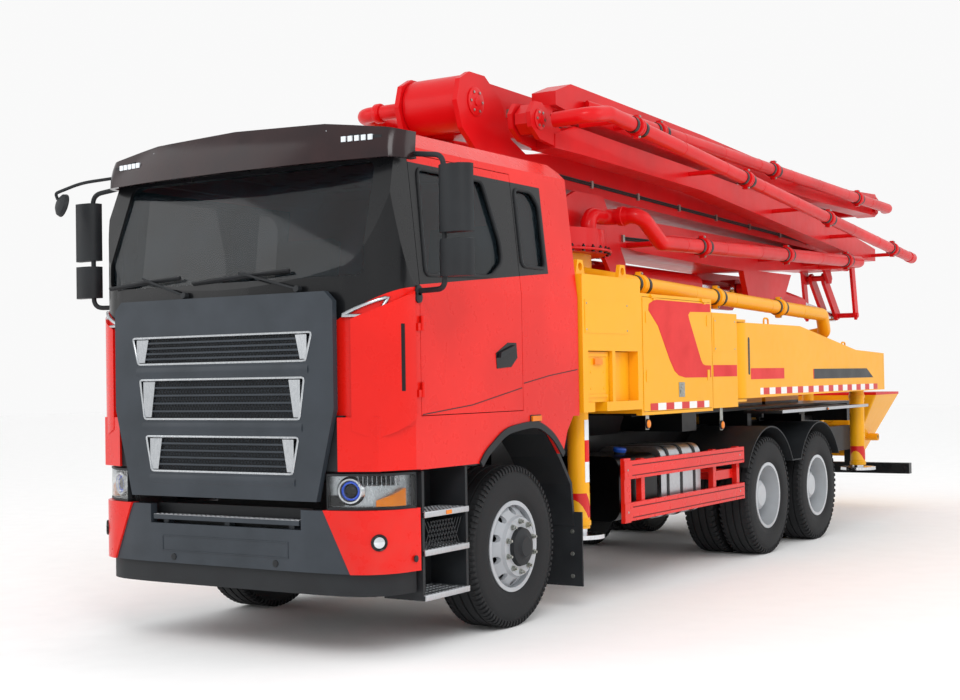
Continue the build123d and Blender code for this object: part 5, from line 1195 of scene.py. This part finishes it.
def make_boom_trim():
    """Pin covers with their keeper bolts, hose runs and the turret's bolt ring."""
    for name, body, station, height, faces, radius in PIN_COVERS:
        covers, bolts = bmesh.new(), bmesh.new()
        for face in faces:
            sign = 1 if face > 0 else -1
            reach = outer_skin(body, sign, station, height, abs(face))
            add_turned(covers, [(0.0, 0.0), (0.0, radius), (0.010, radius), (0.014, radius - 0.006),
                                (0.014, 0.034), (0.024, 0.030), (0.026, 0.0)],
                       (sign * (reach - 0.001), at(station), height), (sign, 0, 0), 40)
            for y, z in circle(6, radius * 0.72):
                add_turned(bolts, [(0.0, 0.0), (0.0, 0.011), (0.008, 0.011), (0.009, 0.0)],
                           (sign * (reach + 0.013), at(station) + y, height + z), (sign, 0, 0), 6)
        keep(name + "_covers", covers, "boom_red", body)
        keep(name + "_bolts", bolts, "zinc", body)
    # hose lines and their clips along the boom's sides
    for body, half, start, end in (
            ("boom_1", 0.300, (3.4, 2.90), (9.2, 3.03)),
            ("boom_2", 0.248, (2.0, 3.36), (9.3, 3.20)),
            ("boom_3", 0.2, (1.6, 3.78), (9.2, 3.70))):
        clips, lines = bmesh.new(), bmesh.new()
        for sign in SIGNS:
            places = []
            for number in range(9):
                station, height = (first + (last - first) * number / 8 for first, last in zip(start, end))
                reach = outer_skin(body, sign, station, height, half)
                if reach > 0.5:
                    reach = half
                places.append((sign * (reach + 0.009), at(station), height))
                add_box(clips, (sign * (reach - 0.001), at(station) - 0.018, height - 0.024),
                        (sign * (reach + 0.020), at(station) + 0.018, height + 0.040))
            add_tube(lines, places, 0.008, 10)
            add_tube(lines, [(x, y, z + 0.018) for x, y, z in places], 0.008, 10)
        keep(body + "_hose_clips", clips, "zinc", body)
        keep(body + "_hoses", lines, "hose_rubber", body)
    flange, unit = bmesh.new(), bmesh.new()
    add_turned(flange, [(2.705, 0.60), (2.705, 0.672), (2.709, 0.676), (2.722, 0.676), (2.726, 0.672),
                        (2.726, 0.60)], (0, at(2.30), 0.0), (0, 0, 1), 72)
    for sides, radius, low, high in ((6, 0.015, -0.014, 0.0), (6, 0.015, 0.021, 0.034),
                                     (12, 0.008, 0.034, 0.046)):
        add_prism(unit, [(-low, x, 0.652 + y) for x, y in circle(sides, radius)], (-(high - low), 0, 0))
    upright = Matrix.Translation((0, at(2.30), 2.705)) @ Matrix.Rotation(math.pi / 2, 4, "Y")
    keep("turret_flange", flange, "boom_red", "turret")
    keep_mesh("turret_studs", ring_of(unit, 36, "black_gloss", upright), "black_gloss", "turret")


# ---------------------------------------------------------------- colour splits
def within(tree, place, axis, low, high, lean=0.0, lean_axis="Z"):
    """One inside low..high along an axis of object coordinates, and nought outside it."""
    parts = add_node(tree, "ShaderNodeSeparateXYZ", {"Vector": place}).outputs
    value = parts[axis]
    if lean:
        value = add_node(tree, "ShaderNodeMath", {
            "operation": "MULTIPLY_ADD", 0: parts[lean_axis], 1: lean, 2: value}, 0)
    above = add_node(tree, "ShaderNodeMath", {"operation": "GREATER_THAN", 0: value, 1: low}, 0)
    below = add_node(tree, "ShaderNodeMath", {"operation": "LESS_THAN", 0: value, 1: high}, 0)
    return joint_mask(tree, "MULTIPLY", above, below)


def joint_mask(tree, kind, mask, *others):
    """All of some masks together, as their product, or any of them, as their maximum."""
    for other in others:
        mask = add_node(tree, "ShaderNodeMath", {"operation": kind, 0: mask, 1: other}, 0)
    return mask


def painted_split(name, base, masks_of, code):
    """A copy of a finish with a second colour of paint where the masks say."""
    material = base.copy()
    material.name = name
    tree = material.node_tree
    shader = next(node for node in tree.nodes if node.type == "BSDF_PRINCIPLED")
    place = next(node for node in tree.nodes if node.type == "TEX_COORD").outputs["Object"]
    colour = shader.inputs["Base Color"].links[0].from_socket
    mixed = add_node(tree, "ShaderNodeMix", {
        "data_type": "RGBA", 0: masks_of(tree, place), 6: colour, 7: linear(code)}, 2)
    tree.links.new(mixed, shader.inputs["Base Color"])
    return material


CORNER_EDGE = (0.88, 2.03)
CORNER_EDGE_RISE = 0.55
SIDE_SILL = (-1.10, 2.245)
SIDE_SILL_RISE = 0.093
FAR = 99.0                      # beyond the truck on any side


def screen_mask(tree, place):
    """Round the windscreen, and round the side windows above their rising sill."""
    edge = CORNER_EDGE[1] - CORNER_EDGE_RISE * CORNER_EDGE[0]
    sill = SIDE_SILL[1] - SIDE_SILL_RISE * at(SIDE_SILL[0])
    front = joint_mask(tree, "MULTIPLY", within(tree, place, "Y", -FAR, at(-1.17)),
                       within(tree, place, "Z", edge, FAR, -CORNER_EDGE_RISE, "X"),
                       within(tree, place, "Z", edge, FAR, CORNER_EDGE_RISE, "X"),
                       within(tree, place, "Z", -FAR, 3.10))
    sides = joint_mask(tree, "MULTIPLY", within(tree, place, "Z", sill, FAR, -SIDE_SILL_RISE, "Y"),
                       within(tree, place, "Z", -FAR, 2.99), within(tree, place, "Y", -FAR, at(0.43)))
    return joint_mask(tree, "MAXIMUM", front, sides)


def rear_mask(tree, place):
    """The bar across the rear, behind the side guards."""
    return within(tree, place, "Y", at(9.2), FAR)


def underbody_mask(tree, place):
    """What lies under the body and inside its sides, painted with the chassis."""
    return joint_mask(tree, "MULTIPLY", within(tree, place, "Z", -1.0, 1.375),
                      within(tree, place, "X", -1.19, 1.19))


def tank_mask(tree, place):
    """The forward tank on the left side, which is black."""
    return joint_mask(tree, "MULTIPLY", within(tree, place, "Y", -FAR, at(2.33)),
                      within(tree, place, "X", 0.0, FAR))


def paint_splits():
    """Put the two-coloured finishes on the cab, body, guards and tanks."""
    for nodes, name, base, masks_of, code in (
            (("cab_shell", "cab_roof", "door_left", "door_right"), "cab_red_with_black_surround", "cab_red",
             screen_mask, "#131416"),
            (("side_guards",), "guards_red_and_black", "cab_red", rear_mask, "#17181A"),
            (("superstructure", "storage_boxes"), "body_yellow_black_below", "body_yellow", underbody_mask,
             "#141517"),
            (("side_tanks",), "tank_bare_and_black", "tank_aluminium", tank_mask, "#141517")):
        material = painted_split(name, MATERIALS[base], masks_of, code)
        for node in nodes:
            NODES[node].data.materials[0] = material


# ---------------------------------------------------------------- bumper
BUMPER_FRONT = -1.59
BUMPER_LEVELS = (0.525, 0.90)
SKIRT_FOOT = 0.39
SLOT_HALF = 0.62
SLOT_FOOT = 0.775
MIDDLE_HALF = (0.97, 0.79)      # half width of the dark middle at its foot and head
MIDDLE_SINK = 0.014             # how far it lies behind the painted corners


def bumper_line():
    """Half of the bumper's plan, from the middle outwards."""
    return plan([(0.0, BUMPER_FRONT), (0.70, BUMPER_FRONT), (0.96, BUMPER_FRONT + 0.026),
                 (1.10, BUMPER_FRONT + 0.092), (1.19, BUMPER_FRONT + 0.215), (CAB_SIDE, -1.195)], 0.12, 5)


def bumper_wall(bm, rows, sink, wall=0.055):
    """Wall through rows of (low place, high place, low height, high height), each place an (x, station)."""
    rings = []
    for index, (foot, head, low, high) in enumerate(rows):
        run = Vector(rows[min(index + 1, len(rows) - 1)][0]) - Vector(rows[max(index - 1, 0)][0])
        run = run.normalized() if run.length else Vector((1, 0))
        normal = Vector((run.y, -run.x))
        if normal.y > 0 and abs(normal.y) > abs(normal.x):
            normal = -normal
        spots = ((Vector(place) - normal * depth, height) for place, height, depth in (
            (foot, low, sink), (head, high, sink), (head, high, sink + wall), (foot, low, sink + wall)))
        rings.append([bm.verts.new((spot.x, at(spot.y), height)) for spot, height in spots])
    skin(bm, rings)


def on_side(rows, sign):
    """Rows of a wall on a side, in the order that runs outwards on the left and inwards on the right."""
    moved = [((sign * foot[0], foot[1]), (sign * head[0], head[1]), low, high)
             for foot, head, low, high in rows]
    return moved if sign > 0 else moved[::-1]


def make_bumper():
    """Bumper of painted corners, a sunk dark middle with its step board, and a skirt."""
    line = bumper_line()
    low, high = BUMPER_LEVELS
    foot_half, head_half = MIDDLE_HALF
    corners, middle, skirt, board, lens, ring, plug, holder = (bmesh.new() for _ in range(8))

    def place(x):
        return (x, level_on(line, x))

    painted = [(place(foot_half + 0.03 * share), place(head_half + (foot_half + 0.03 - head_half) * share),
                low, high) for share in (0.0, 0.25, 0.5, 0.75, 1.0)]
    painted += [(spot, spot, low, high) for spot in line if spot[0] > foot_half + 0.04]
    beside = [(place(SLOT_HALF + (foot_half - 0.12 - SLOT_HALF) * share),
               place(SLOT_HALF + (head_half + 0.01 - SLOT_HALF) * share), SLOT_FOOT, high - 0.004)
              for share in (0.0, 0.2, 0.4, 0.6, 0.8, 1.0)]
    for sign in SIGNS:
        bumper_wall(corners, on_side(painted, sign), 0.0)
        bumper_wall(middle, on_side(beside, sign), MIDDLE_SINK)
        fog = place(1.12)
        run = (Vector(place(1.14)) - Vector(place(1.10))).normalized()
        normal = (sign * run.y, -run.x, 0.0)
        centre = Vector((sign * fog[0], at(fog[1]), 0.712)) - Vector(normal) * 0.012
        add_turned(lens, [(0.014, 0.0), (0.014, 0.036), (0.019, 0.033), (0.023, 0.020), (0.024, 0.0)],
                   centre, normal, 32)
        add_turned(ring, [(0.0, 0.0), (0.0, 0.050), (0.019, 0.050), (0.024, 0.046), (0.022, 0.041),
                          (0.016, 0.037), (0.016, 0.0)], centre, normal, 40)
        add_turned(plug, [(0.0, 0.0), (0.0, 0.020), (0.006, 0.020), (0.007, 0.0)],
                   (sign * (CAB_SIDE - 0.004), at(-1.245), 0.60), (sign, 0, 0), 24)
    span = [-foot_half + 2 * foot_half * number / 24 for number in range(25)]
    bumper_wall(middle, [((x, level_on(line, abs(x))), (x * 0.895, level_on(line, abs(x * 0.895))), low,
                          SLOT_FOOT) for x in span], MIDDLE_SINK)
    whole = [(-x, y) for x, y in line[::-1]] + line[1:]
    bumper_wall(skirt, [(spot, spot, SKIRT_FOOT, low + 0.002) for spot in whole], 0.045, 0.045)
    add_box(skirt, (-SLOT_HALF - 0.02, at(BUMPER_FRONT + 0.110), SLOT_FOOT - 0.01),
            (SLOT_HALF + 0.02, at(BUMPER_FRONT + 0.125), high - 0.004))
    add_box(board, (-0.60, at(BUMPER_FRONT + 0.020), 0.800), (0.60, at(BUMPER_FRONT + 0.112), 0.829))
    for x in (-0.52, 0.0, 0.52):
        add_box(board, (x - 0.02, at(BUMPER_FRONT + 0.05), SLOT_FOOT - 0.005), (x + 0.02, at(-1.482), 0.802))
    # faint frame where a plate would be held
    face = at(BUMPER_FRONT + 0.0135)
    for start, end in (((-0.52, 0.600), (0.52, 0.606)), ((-0.52, 0.694), (0.52, 0.700)),
                       ((-0.52, 0.606), (-0.514, 0.694)), ((0.514, 0.606), (0.52, 0.694))):
        add_box(holder, (start[0], face, start[1]), (end[0], face - 0.003, end[1]))
    keep("bumper_corners", corners, "cab_red", sharp=40, replaces=("front_bumper",))
    keep("bumper_middle", middle, "dark_panel", sharp=40)
    keep("bumper_skirt", skirt, "black_plastic", sharp=40)
    keep("step_board", board, "dark_panel")
    keep("fog_lamp_lenses", lens, "mirror_silver")
    keep("fog_lamp_bezels", ring, "black_gloss")
    keep("bumper_plugs", plug, "black_plastic")
    keep("plain_holder_frame", holder, "dark_panel")


def make_extras():
    """Forward mirror on its arm, hub covers and the elbow beside the boom's head."""
    arm, head, glass, elbow, bands = (bmesh.new() for _ in range(5))
    add_tube(arm, rounded([(-1.19, at(-1.30), 3.08), (-1.40, at(-1.42), 3.05), (-1.60, at(-1.47), 2.99),
                           (-1.60, at(-1.45), 2.95)], 0.08, 6), 0.011, 12)
    add_turned(arm, [(-0.01, 0.0), (-0.01, 0.026), (0.012, 0.022), (0.014, 0.0)],
               (-1.195, at(-1.300), 3.08), (-0.8, -0.6, 0), 20)
    centre = (-1.555, at(-1.44), 2.905)
    axis = (0.35, 0.90, -0.25)
    add_turned(head, [(-0.045, 0.0), (-0.042, 0.045), (-0.024, 0.074), (0.0, 0.082), (0.006, 0.080),
                      (0.006, 0.0)], centre, axis, 36)
    add_turned(glass, [(0.004, 0.0), (0.004, 0.072), (0.008, 0.070), (0.012, 0.040), (0.014, 0.0)],
               centre, axis, 36)
    keep("forward_mirror_arm", arm, "black_plastic")
    keep("forward_mirror_head", head, "black_plastic")
    keep("forward_mirror_glass", glass, "mirror_silver")
    for side, sign in SIDES:
        hub = bmesh.new()
        add_turned(hub, [(0.0065, 0.0), (0.0065, 0.1315), (0.0345, 0.1235), (0.0425, 0.0920), (0.046, 0.080),
                         (0.052, 0.074), (0.062, 0.064), (0.064, 0.0)],
                   (sign * 1.1985, FRONT_AXLE, AXLE_HEIGHT), (sign, 0, 0), 44)
        keep("hub_cover_front_" + side, hub, "black_plastic", "wheel_front_" + side)
        for number, station in enumerate(REAR_STATIONS, start=1):
            hub = bmesh.new()
            add_turned(hub, [(0.0, 0.0), (0.0, 0.112), (0.030, 0.112), (0.040, 0.100), (0.095, 0.092),
                             (0.105, 0.080), (0.108, 0.0)],
                       (sign * 0.922, at(station), AXLE_HEIGHT), (sign, 0, 0), 40)
            name = "%d_%s" % (number, side)
            keep("hub_cover_rear_" + name, hub, "chassis_black", "wheels_rear_" + name)
    path = [(x, at(station), height) for x, station, height in (
        (-0.262, 0.98, 3.79), (-0.83, 0.98, 3.79), (-0.84, 1.35, 3.79), (-0.84, 3.30, 3.74),
        (-0.84, 3.62, 3.74), (-0.17, 3.66, 3.75))]
    add_tube(elbow, rounded(path, 0.20, 10), 0.060, 28)
    coupling = mirrored([(-0.030, 0.059), (-0.030, 0.072), (-0.020, 0.078)])
    for x in (-0.33, -0.62):
        add_turned(bands, coupling, (x, at(0.98), 3.79), (1, 0, 0), 32)
    for station in (1.9, 2.9):
        add_turned(bands, coupling, (-0.84, at(station), 3.79 - (station - 1.35) * 0.0256), (0, 1, 0), 32)
        add_box(bands, (-0.80, at(station - 0.03), 3.74), (-0.17, at(station + 0.03), 3.77))
    keep("head_elbow", elbow, "boom_red", "boom_3")
    keep("head_elbow_couplings", bands, "boom_red", "boom_3")


# ---------------------------------------------------------------- stage
def make_stage(settings):
    """Pale floor, soft studio light and the camera."""
    ground = bmesh.new()
    reach = settings.floor_reach
    add_box(ground, (-reach, -reach, -0.02), (reach, reach, 0.0))
    floor = bpy.data.objects.new("floor", as_mesh(ground, "floor"))
    bpy.context.scene.collection.objects.link(floor)
    floor.data.materials.append(moulded("pale_studio_floor", "#FFFFFF", "#FCFCFC", 0.8, 0.02))

    world = bpy.data.worlds.new("studio")
    bpy.context.scene.world = world
    world.use_nodes = True
    background = world.node_tree.nodes["Background"]
    background.inputs["Color"].default_value = linear("#FFFFFF")
    background.inputs["Strength"].default_value = settings.sky_strength

    for name, place, aim, size, power in (
            ("key light", (7.5, -13.0, 9.0), (0.5, -3.5, 1.8), 5.0, settings.key_power),
            ("fill light", (-9.0, -12.0, 6.0), (0.0, -4.0, 1.5), 7.0, settings.key_power * 0.35),
            ("side light", (12.0, 2.0, 7.0), (0.0, 0.5, 1.8), 8.0, settings.key_power * 0.5)):
        lamp = bpy.data.lights.new(name, "AREA")
        lamp.energy = power
        lamp.size = size
        light = bpy.data.objects.new(name, lamp)
        bpy.context.scene.collection.objects.link(light)
        light.location = place
        light.rotation_euler = (Vector(aim) - Vector(place)).to_track_quat("-Z", "Y").to_euler()

    yaw, pitch, roll = (math.radians(angle) for angle in (32.31, 1.12, -0.93))
    forward = Vector((-math.sin(yaw) * math.cos(pitch), math.cos(yaw) * math.cos(pitch), math.sin(pitch)))
    right = forward.cross(Vector((0, 0, 1))).normalized()
    up = right.cross(forward)
    right, up = (math.cos(roll) * right + math.sin(roll) * up, -math.sin(roll) * right + math.cos(roll) * up)
    lens = bpy.data.cameras.new("camera")
    lens.lens = settings.lens
    lens.sensor_width = 36.0
    lens.clip_end = 200.0
    camera = bpy.data.objects.new("camera", lens)
    bpy.context.scene.collection.objects.link(camera)
    turn = Matrix((right, up, -forward)).transposed()
    camera.matrix_world = Matrix.Translation((6.216, at(-8.384), 1.667)) @ turn.to_4x4()
    bpy.context.scene.camera = camera
    bpy.context.scene.view_settings.view_transform = "Standard"


# ---------------------------------------------------------------- add-on
class TruckSizes(bpy.types.PropertyGroup):
    """Sizes that a user would change."""

    tyre_radius: FloatProperty(name="Tyre radius", description="Over the tread", default=0.54,
                               unit="LENGTH")
    tyre_width: FloatProperty(name="Tyre width", description="Over the sidewalls", default=0.30,
                              unit="LENGTH")
    groove_depth: FloatProperty(name="Groove depth", description="Of the tread", default=0.014,
                                unit="LENGTH")
    mesh_pitch: FloatProperty(name="Mesh pitch", description="Between the grille's wires", default=0.026,
                              unit="LENGTH")


class TruckColours(bpy.types.PropertyGroup):
    """Paint colours, as sRGB."""

    cab: FloatVectorProperty(name="Cab", description="Cab paint", subtype="COLOR_GAMMA", size=3,
                             default=(0.890, 0.110, 0.075))
    boom: FloatVectorProperty(name="Boom", description="Boom paint", subtype="COLOR_GAMMA", size=3,
                              default=(0.860, 0.045, 0.075))
    body: FloatVectorProperty(name="Body", description="Body paint", subtype="COLOR_GAMMA", size=3,
                              default=(0.960, 0.670, 0.100))


class StageSettings(bpy.types.PropertyGroup):
    """Studio."""

    floor_reach: FloatProperty(name="Floor reach", description="Half the floor's width", default=60.0,
                               unit="LENGTH")
    sky_strength: FloatProperty(name="Sky strength", description="Of the even background light",
                                default=0.95)
    key_power: FloatProperty(name="Key power", description="Of the main lamp", default=520.0, unit="POWER")
    lens: FloatProperty(name="Lens", description="Focal length", default=54.62, unit="CAMERA")


def hex_of(colour):
    """sRGB hex code of a colour property."""
    return "#" + "".join("%02X" % round(channel * 255) for channel in colour)


class OBJECT_OT_truck_finishes(bpy.types.Operator):
    """Make the finishes and put them on the truck's solids"""

    bl_idname = "object.truck_finishes"
    bl_label = "Finishes"

    def execute(self, context):
        colours = context.scene.truck_colours
        make_materials([hex_of(colour) for colour in (colours.cab, colours.boom, colours.body)])
        for name, node in NODES.items():
            node.data.materials.clear()
            node.data.materials.append(MATERIALS[SLOT_OF[name]])
        paint_splits()
        return {"FINISHED"}


class OBJECT_OT_truck_wheels(bpy.types.Operator):
    """Build the tyres and wheel nuts"""

    bl_idname = "object.truck_wheels"
    bl_label = "Wheels"

    def execute(self, context):
        make_wheels(context.scene.truck_sizes)
        return {"FINISHED"}


class OBJECT_OT_truck_grille(bpy.types.Operator):
    """Build the grille's mesh and frames"""

    bl_idname = "object.truck_grille"
    bl_label = "Grille"

    def execute(self, context):
        make_grille(context.scene.truck_sizes)
        return {"FINISHED"}


class OBJECT_OT_truck_visor(bpy.types.Operator):
    """Build the sun visor and the mirrors"""

    bl_idname = "object.truck_visor"
    bl_label = "Visor and mirrors"

    def execute(self, context):
        make_visor()
        return {"FINISHED"}


class OBJECT_OT_truck_headlamps(bpy.types.Operator):
    """Build the headlamps"""

    bl_idname = "object.truck_headlamps"
    bl_label = "Headlamps"

    def execute(self, context):
        make_headlamps()
        return {"FINISHED"}


class OBJECT_OT_truck_cab_front(bpy.types.Operator):
    """Build the wipers, fins and trims of the front"""

    bl_idname = "object.truck_cab_front"
    bl_label = "Cab front"

    def execute(self, context):
        make_cab_front()
        return {"FINISHED"}


class OBJECT_OT_truck_cab_sides(bpy.types.Operator):
    """Build the seals, handles and lips of the cab's sides"""

    bl_idname = "object.truck_cab_sides"
    bl_label = "Cab sides"

    def execute(self, context):
        make_cab_sides()
        return {"FINISHED"}


class OBJECT_OT_truck_steps(bpy.types.Operator):
    """Build the treads of the cab's steps"""

    bl_idname = "object.truck_steps"
    bl_label = "Steps"

    def execute(self, context):
        make_steps()
        return {"FINISHED"}


class OBJECT_OT_truck_body_trim(bpy.types.Operator):
    """Build the stripes, covers and lamps of the body"""

    bl_idname = "object.truck_body_trim"
    bl_label = "Body trim"

    def execute(self, context):
        make_body_trim()
        return {"FINISHED"}


class OBJECT_OT_truck_tanks(bpy.types.Operator):
    """Build the straps and cap of the tanks, and the grooves of the side guards"""

    bl_idname = "object.truck_tanks"
    bl_label = "Tanks"

    def execute(self, context):
        make_tanks()
        return {"FINISHED"}


class OBJECT_OT_truck_jacks(bpy.types.Operator):
    """Build the tape and collars of the jacks"""

    bl_idname = "object.truck_jacks"
    bl_label = "Jacks"

    def execute(self, context):
        make_jacks()
        return {"FINISHED"}


class OBJECT_OT_truck_arms(bpy.types.Operator):
    """Build the stripes and eyes of the rear arms"""

    bl_idname = "object.truck_arms"
    bl_label = "Rear arms"

    def execute(self, context):
        make_arms()
        return {"FINISHED"}


class OBJECT_OT_truck_pipes(bpy.types.Operator):
    """Build the couplings of the delivery line"""

    bl_idname = "object.truck_pipes"
    bl_label = "Delivery line"

    def execute(self, context):
        make_pipes()
        return {"FINISHED"}


class OBJECT_OT_truck_bumper(bpy.types.Operator):
    """Build the bumper and its fog lamps"""

    bl_idname = "object.truck_bumper"
    bl_label = "Bumper"

    def execute(self, context):
        make_bumper()
        return {"FINISHED"}


class OBJECT_OT_truck_extras(bpy.types.Operator):
    """Build the forward mirror, hub covers and elbow"""

    bl_idname = "object.truck_extras"
    bl_label = "Extras"

    def execute(self, context):
        make_extras()
        return {"FINISHED"}


class OBJECT_OT_truck_boom_trim(bpy.types.Operator):
    """Build the pin covers, hoses and turret bolts"""

    bl_idname = "object.truck_boom_trim"
    bl_label = "Boom trim"

    def execute(self, context):
        make_boom_trim()
        return {"FINISHED"}


class OBJECT_OT_truck_stage(bpy.types.Operator):
    """Build the floor, the lights and the camera"""

    bl_idname = "object.truck_stage"
    bl_label = "Stage"

    def execute(self, context):
        make_stage(context.scene.truck_stage)
        return {"FINISHED"}


GROUPS = (("truck_sizes", TruckSizes), ("truck_colours", TruckColours), ("truck_stage", StageSettings))
OPERATORS = (
    OBJECT_OT_truck_finishes,
    OBJECT_OT_truck_wheels,
    OBJECT_OT_truck_grille,
    OBJECT_OT_truck_visor,
    OBJECT_OT_truck_headlamps,
    OBJECT_OT_truck_cab_front,
    OBJECT_OT_truck_cab_sides,
    OBJECT_OT_truck_steps,
    OBJECT_OT_truck_body_trim,
    OBJECT_OT_truck_tanks,
    OBJECT_OT_truck_jacks,
    OBJECT_OT_truck_arms,
    OBJECT_OT_truck_pipes,
    OBJECT_OT_truck_bumper,
    OBJECT_OT_truck_extras,
    OBJECT_OT_truck_boom_trim,
    OBJECT_OT_truck_stage,
)
STEPS = tuple(item.bl_idname.split(".")[1] for item in OPERATORS)


class VIEW3D_PT_truck(bpy.types.Panel):
    """Sidebar panel that lists the steps and their settings."""

    bl_idname = "VIEW3D_PT_truck"
    bl_label = "Pump truck"
    bl_space_type = "VIEW_3D"
    bl_region_type = "UI"
    bl_category = "Pump truck"

    def draw(self, context):
        scene = context.scene
        for group in (scene.truck_sizes, scene.truck_colours, scene.truck_stage):
            for name in group.__annotations__:
                self.layout.prop(group, name)
        for step in STEPS:
            self.layout.operator("object." + step)


def register():
    """Register the classes and attach the settings to the scene."""
    for name, group in GROUPS:
        bpy.utils.register_class(group)
        setattr(bpy.types.Scene, name, PointerProperty(type=group))
    for item in OPERATORS + (VIEW3D_PT_truck,):
        bpy.utils.register_class(item)


def unregister():
    """Take the classes and settings away again."""
    for item in (VIEW3D_PT_truck,) + OPERATORS[::-1]:
        bpy.utils.unregister_class(item)
    for name, group in GROUPS[::-1]:
        delattr(bpy.types.Scene, name)
        bpy.utils.unregister_class(group)


def main():
    """Build everything in order."""
    register()
    for step in STEPS:
        getattr(bpy.ops.object, step)()


if __name__ == "__main__":
    main()
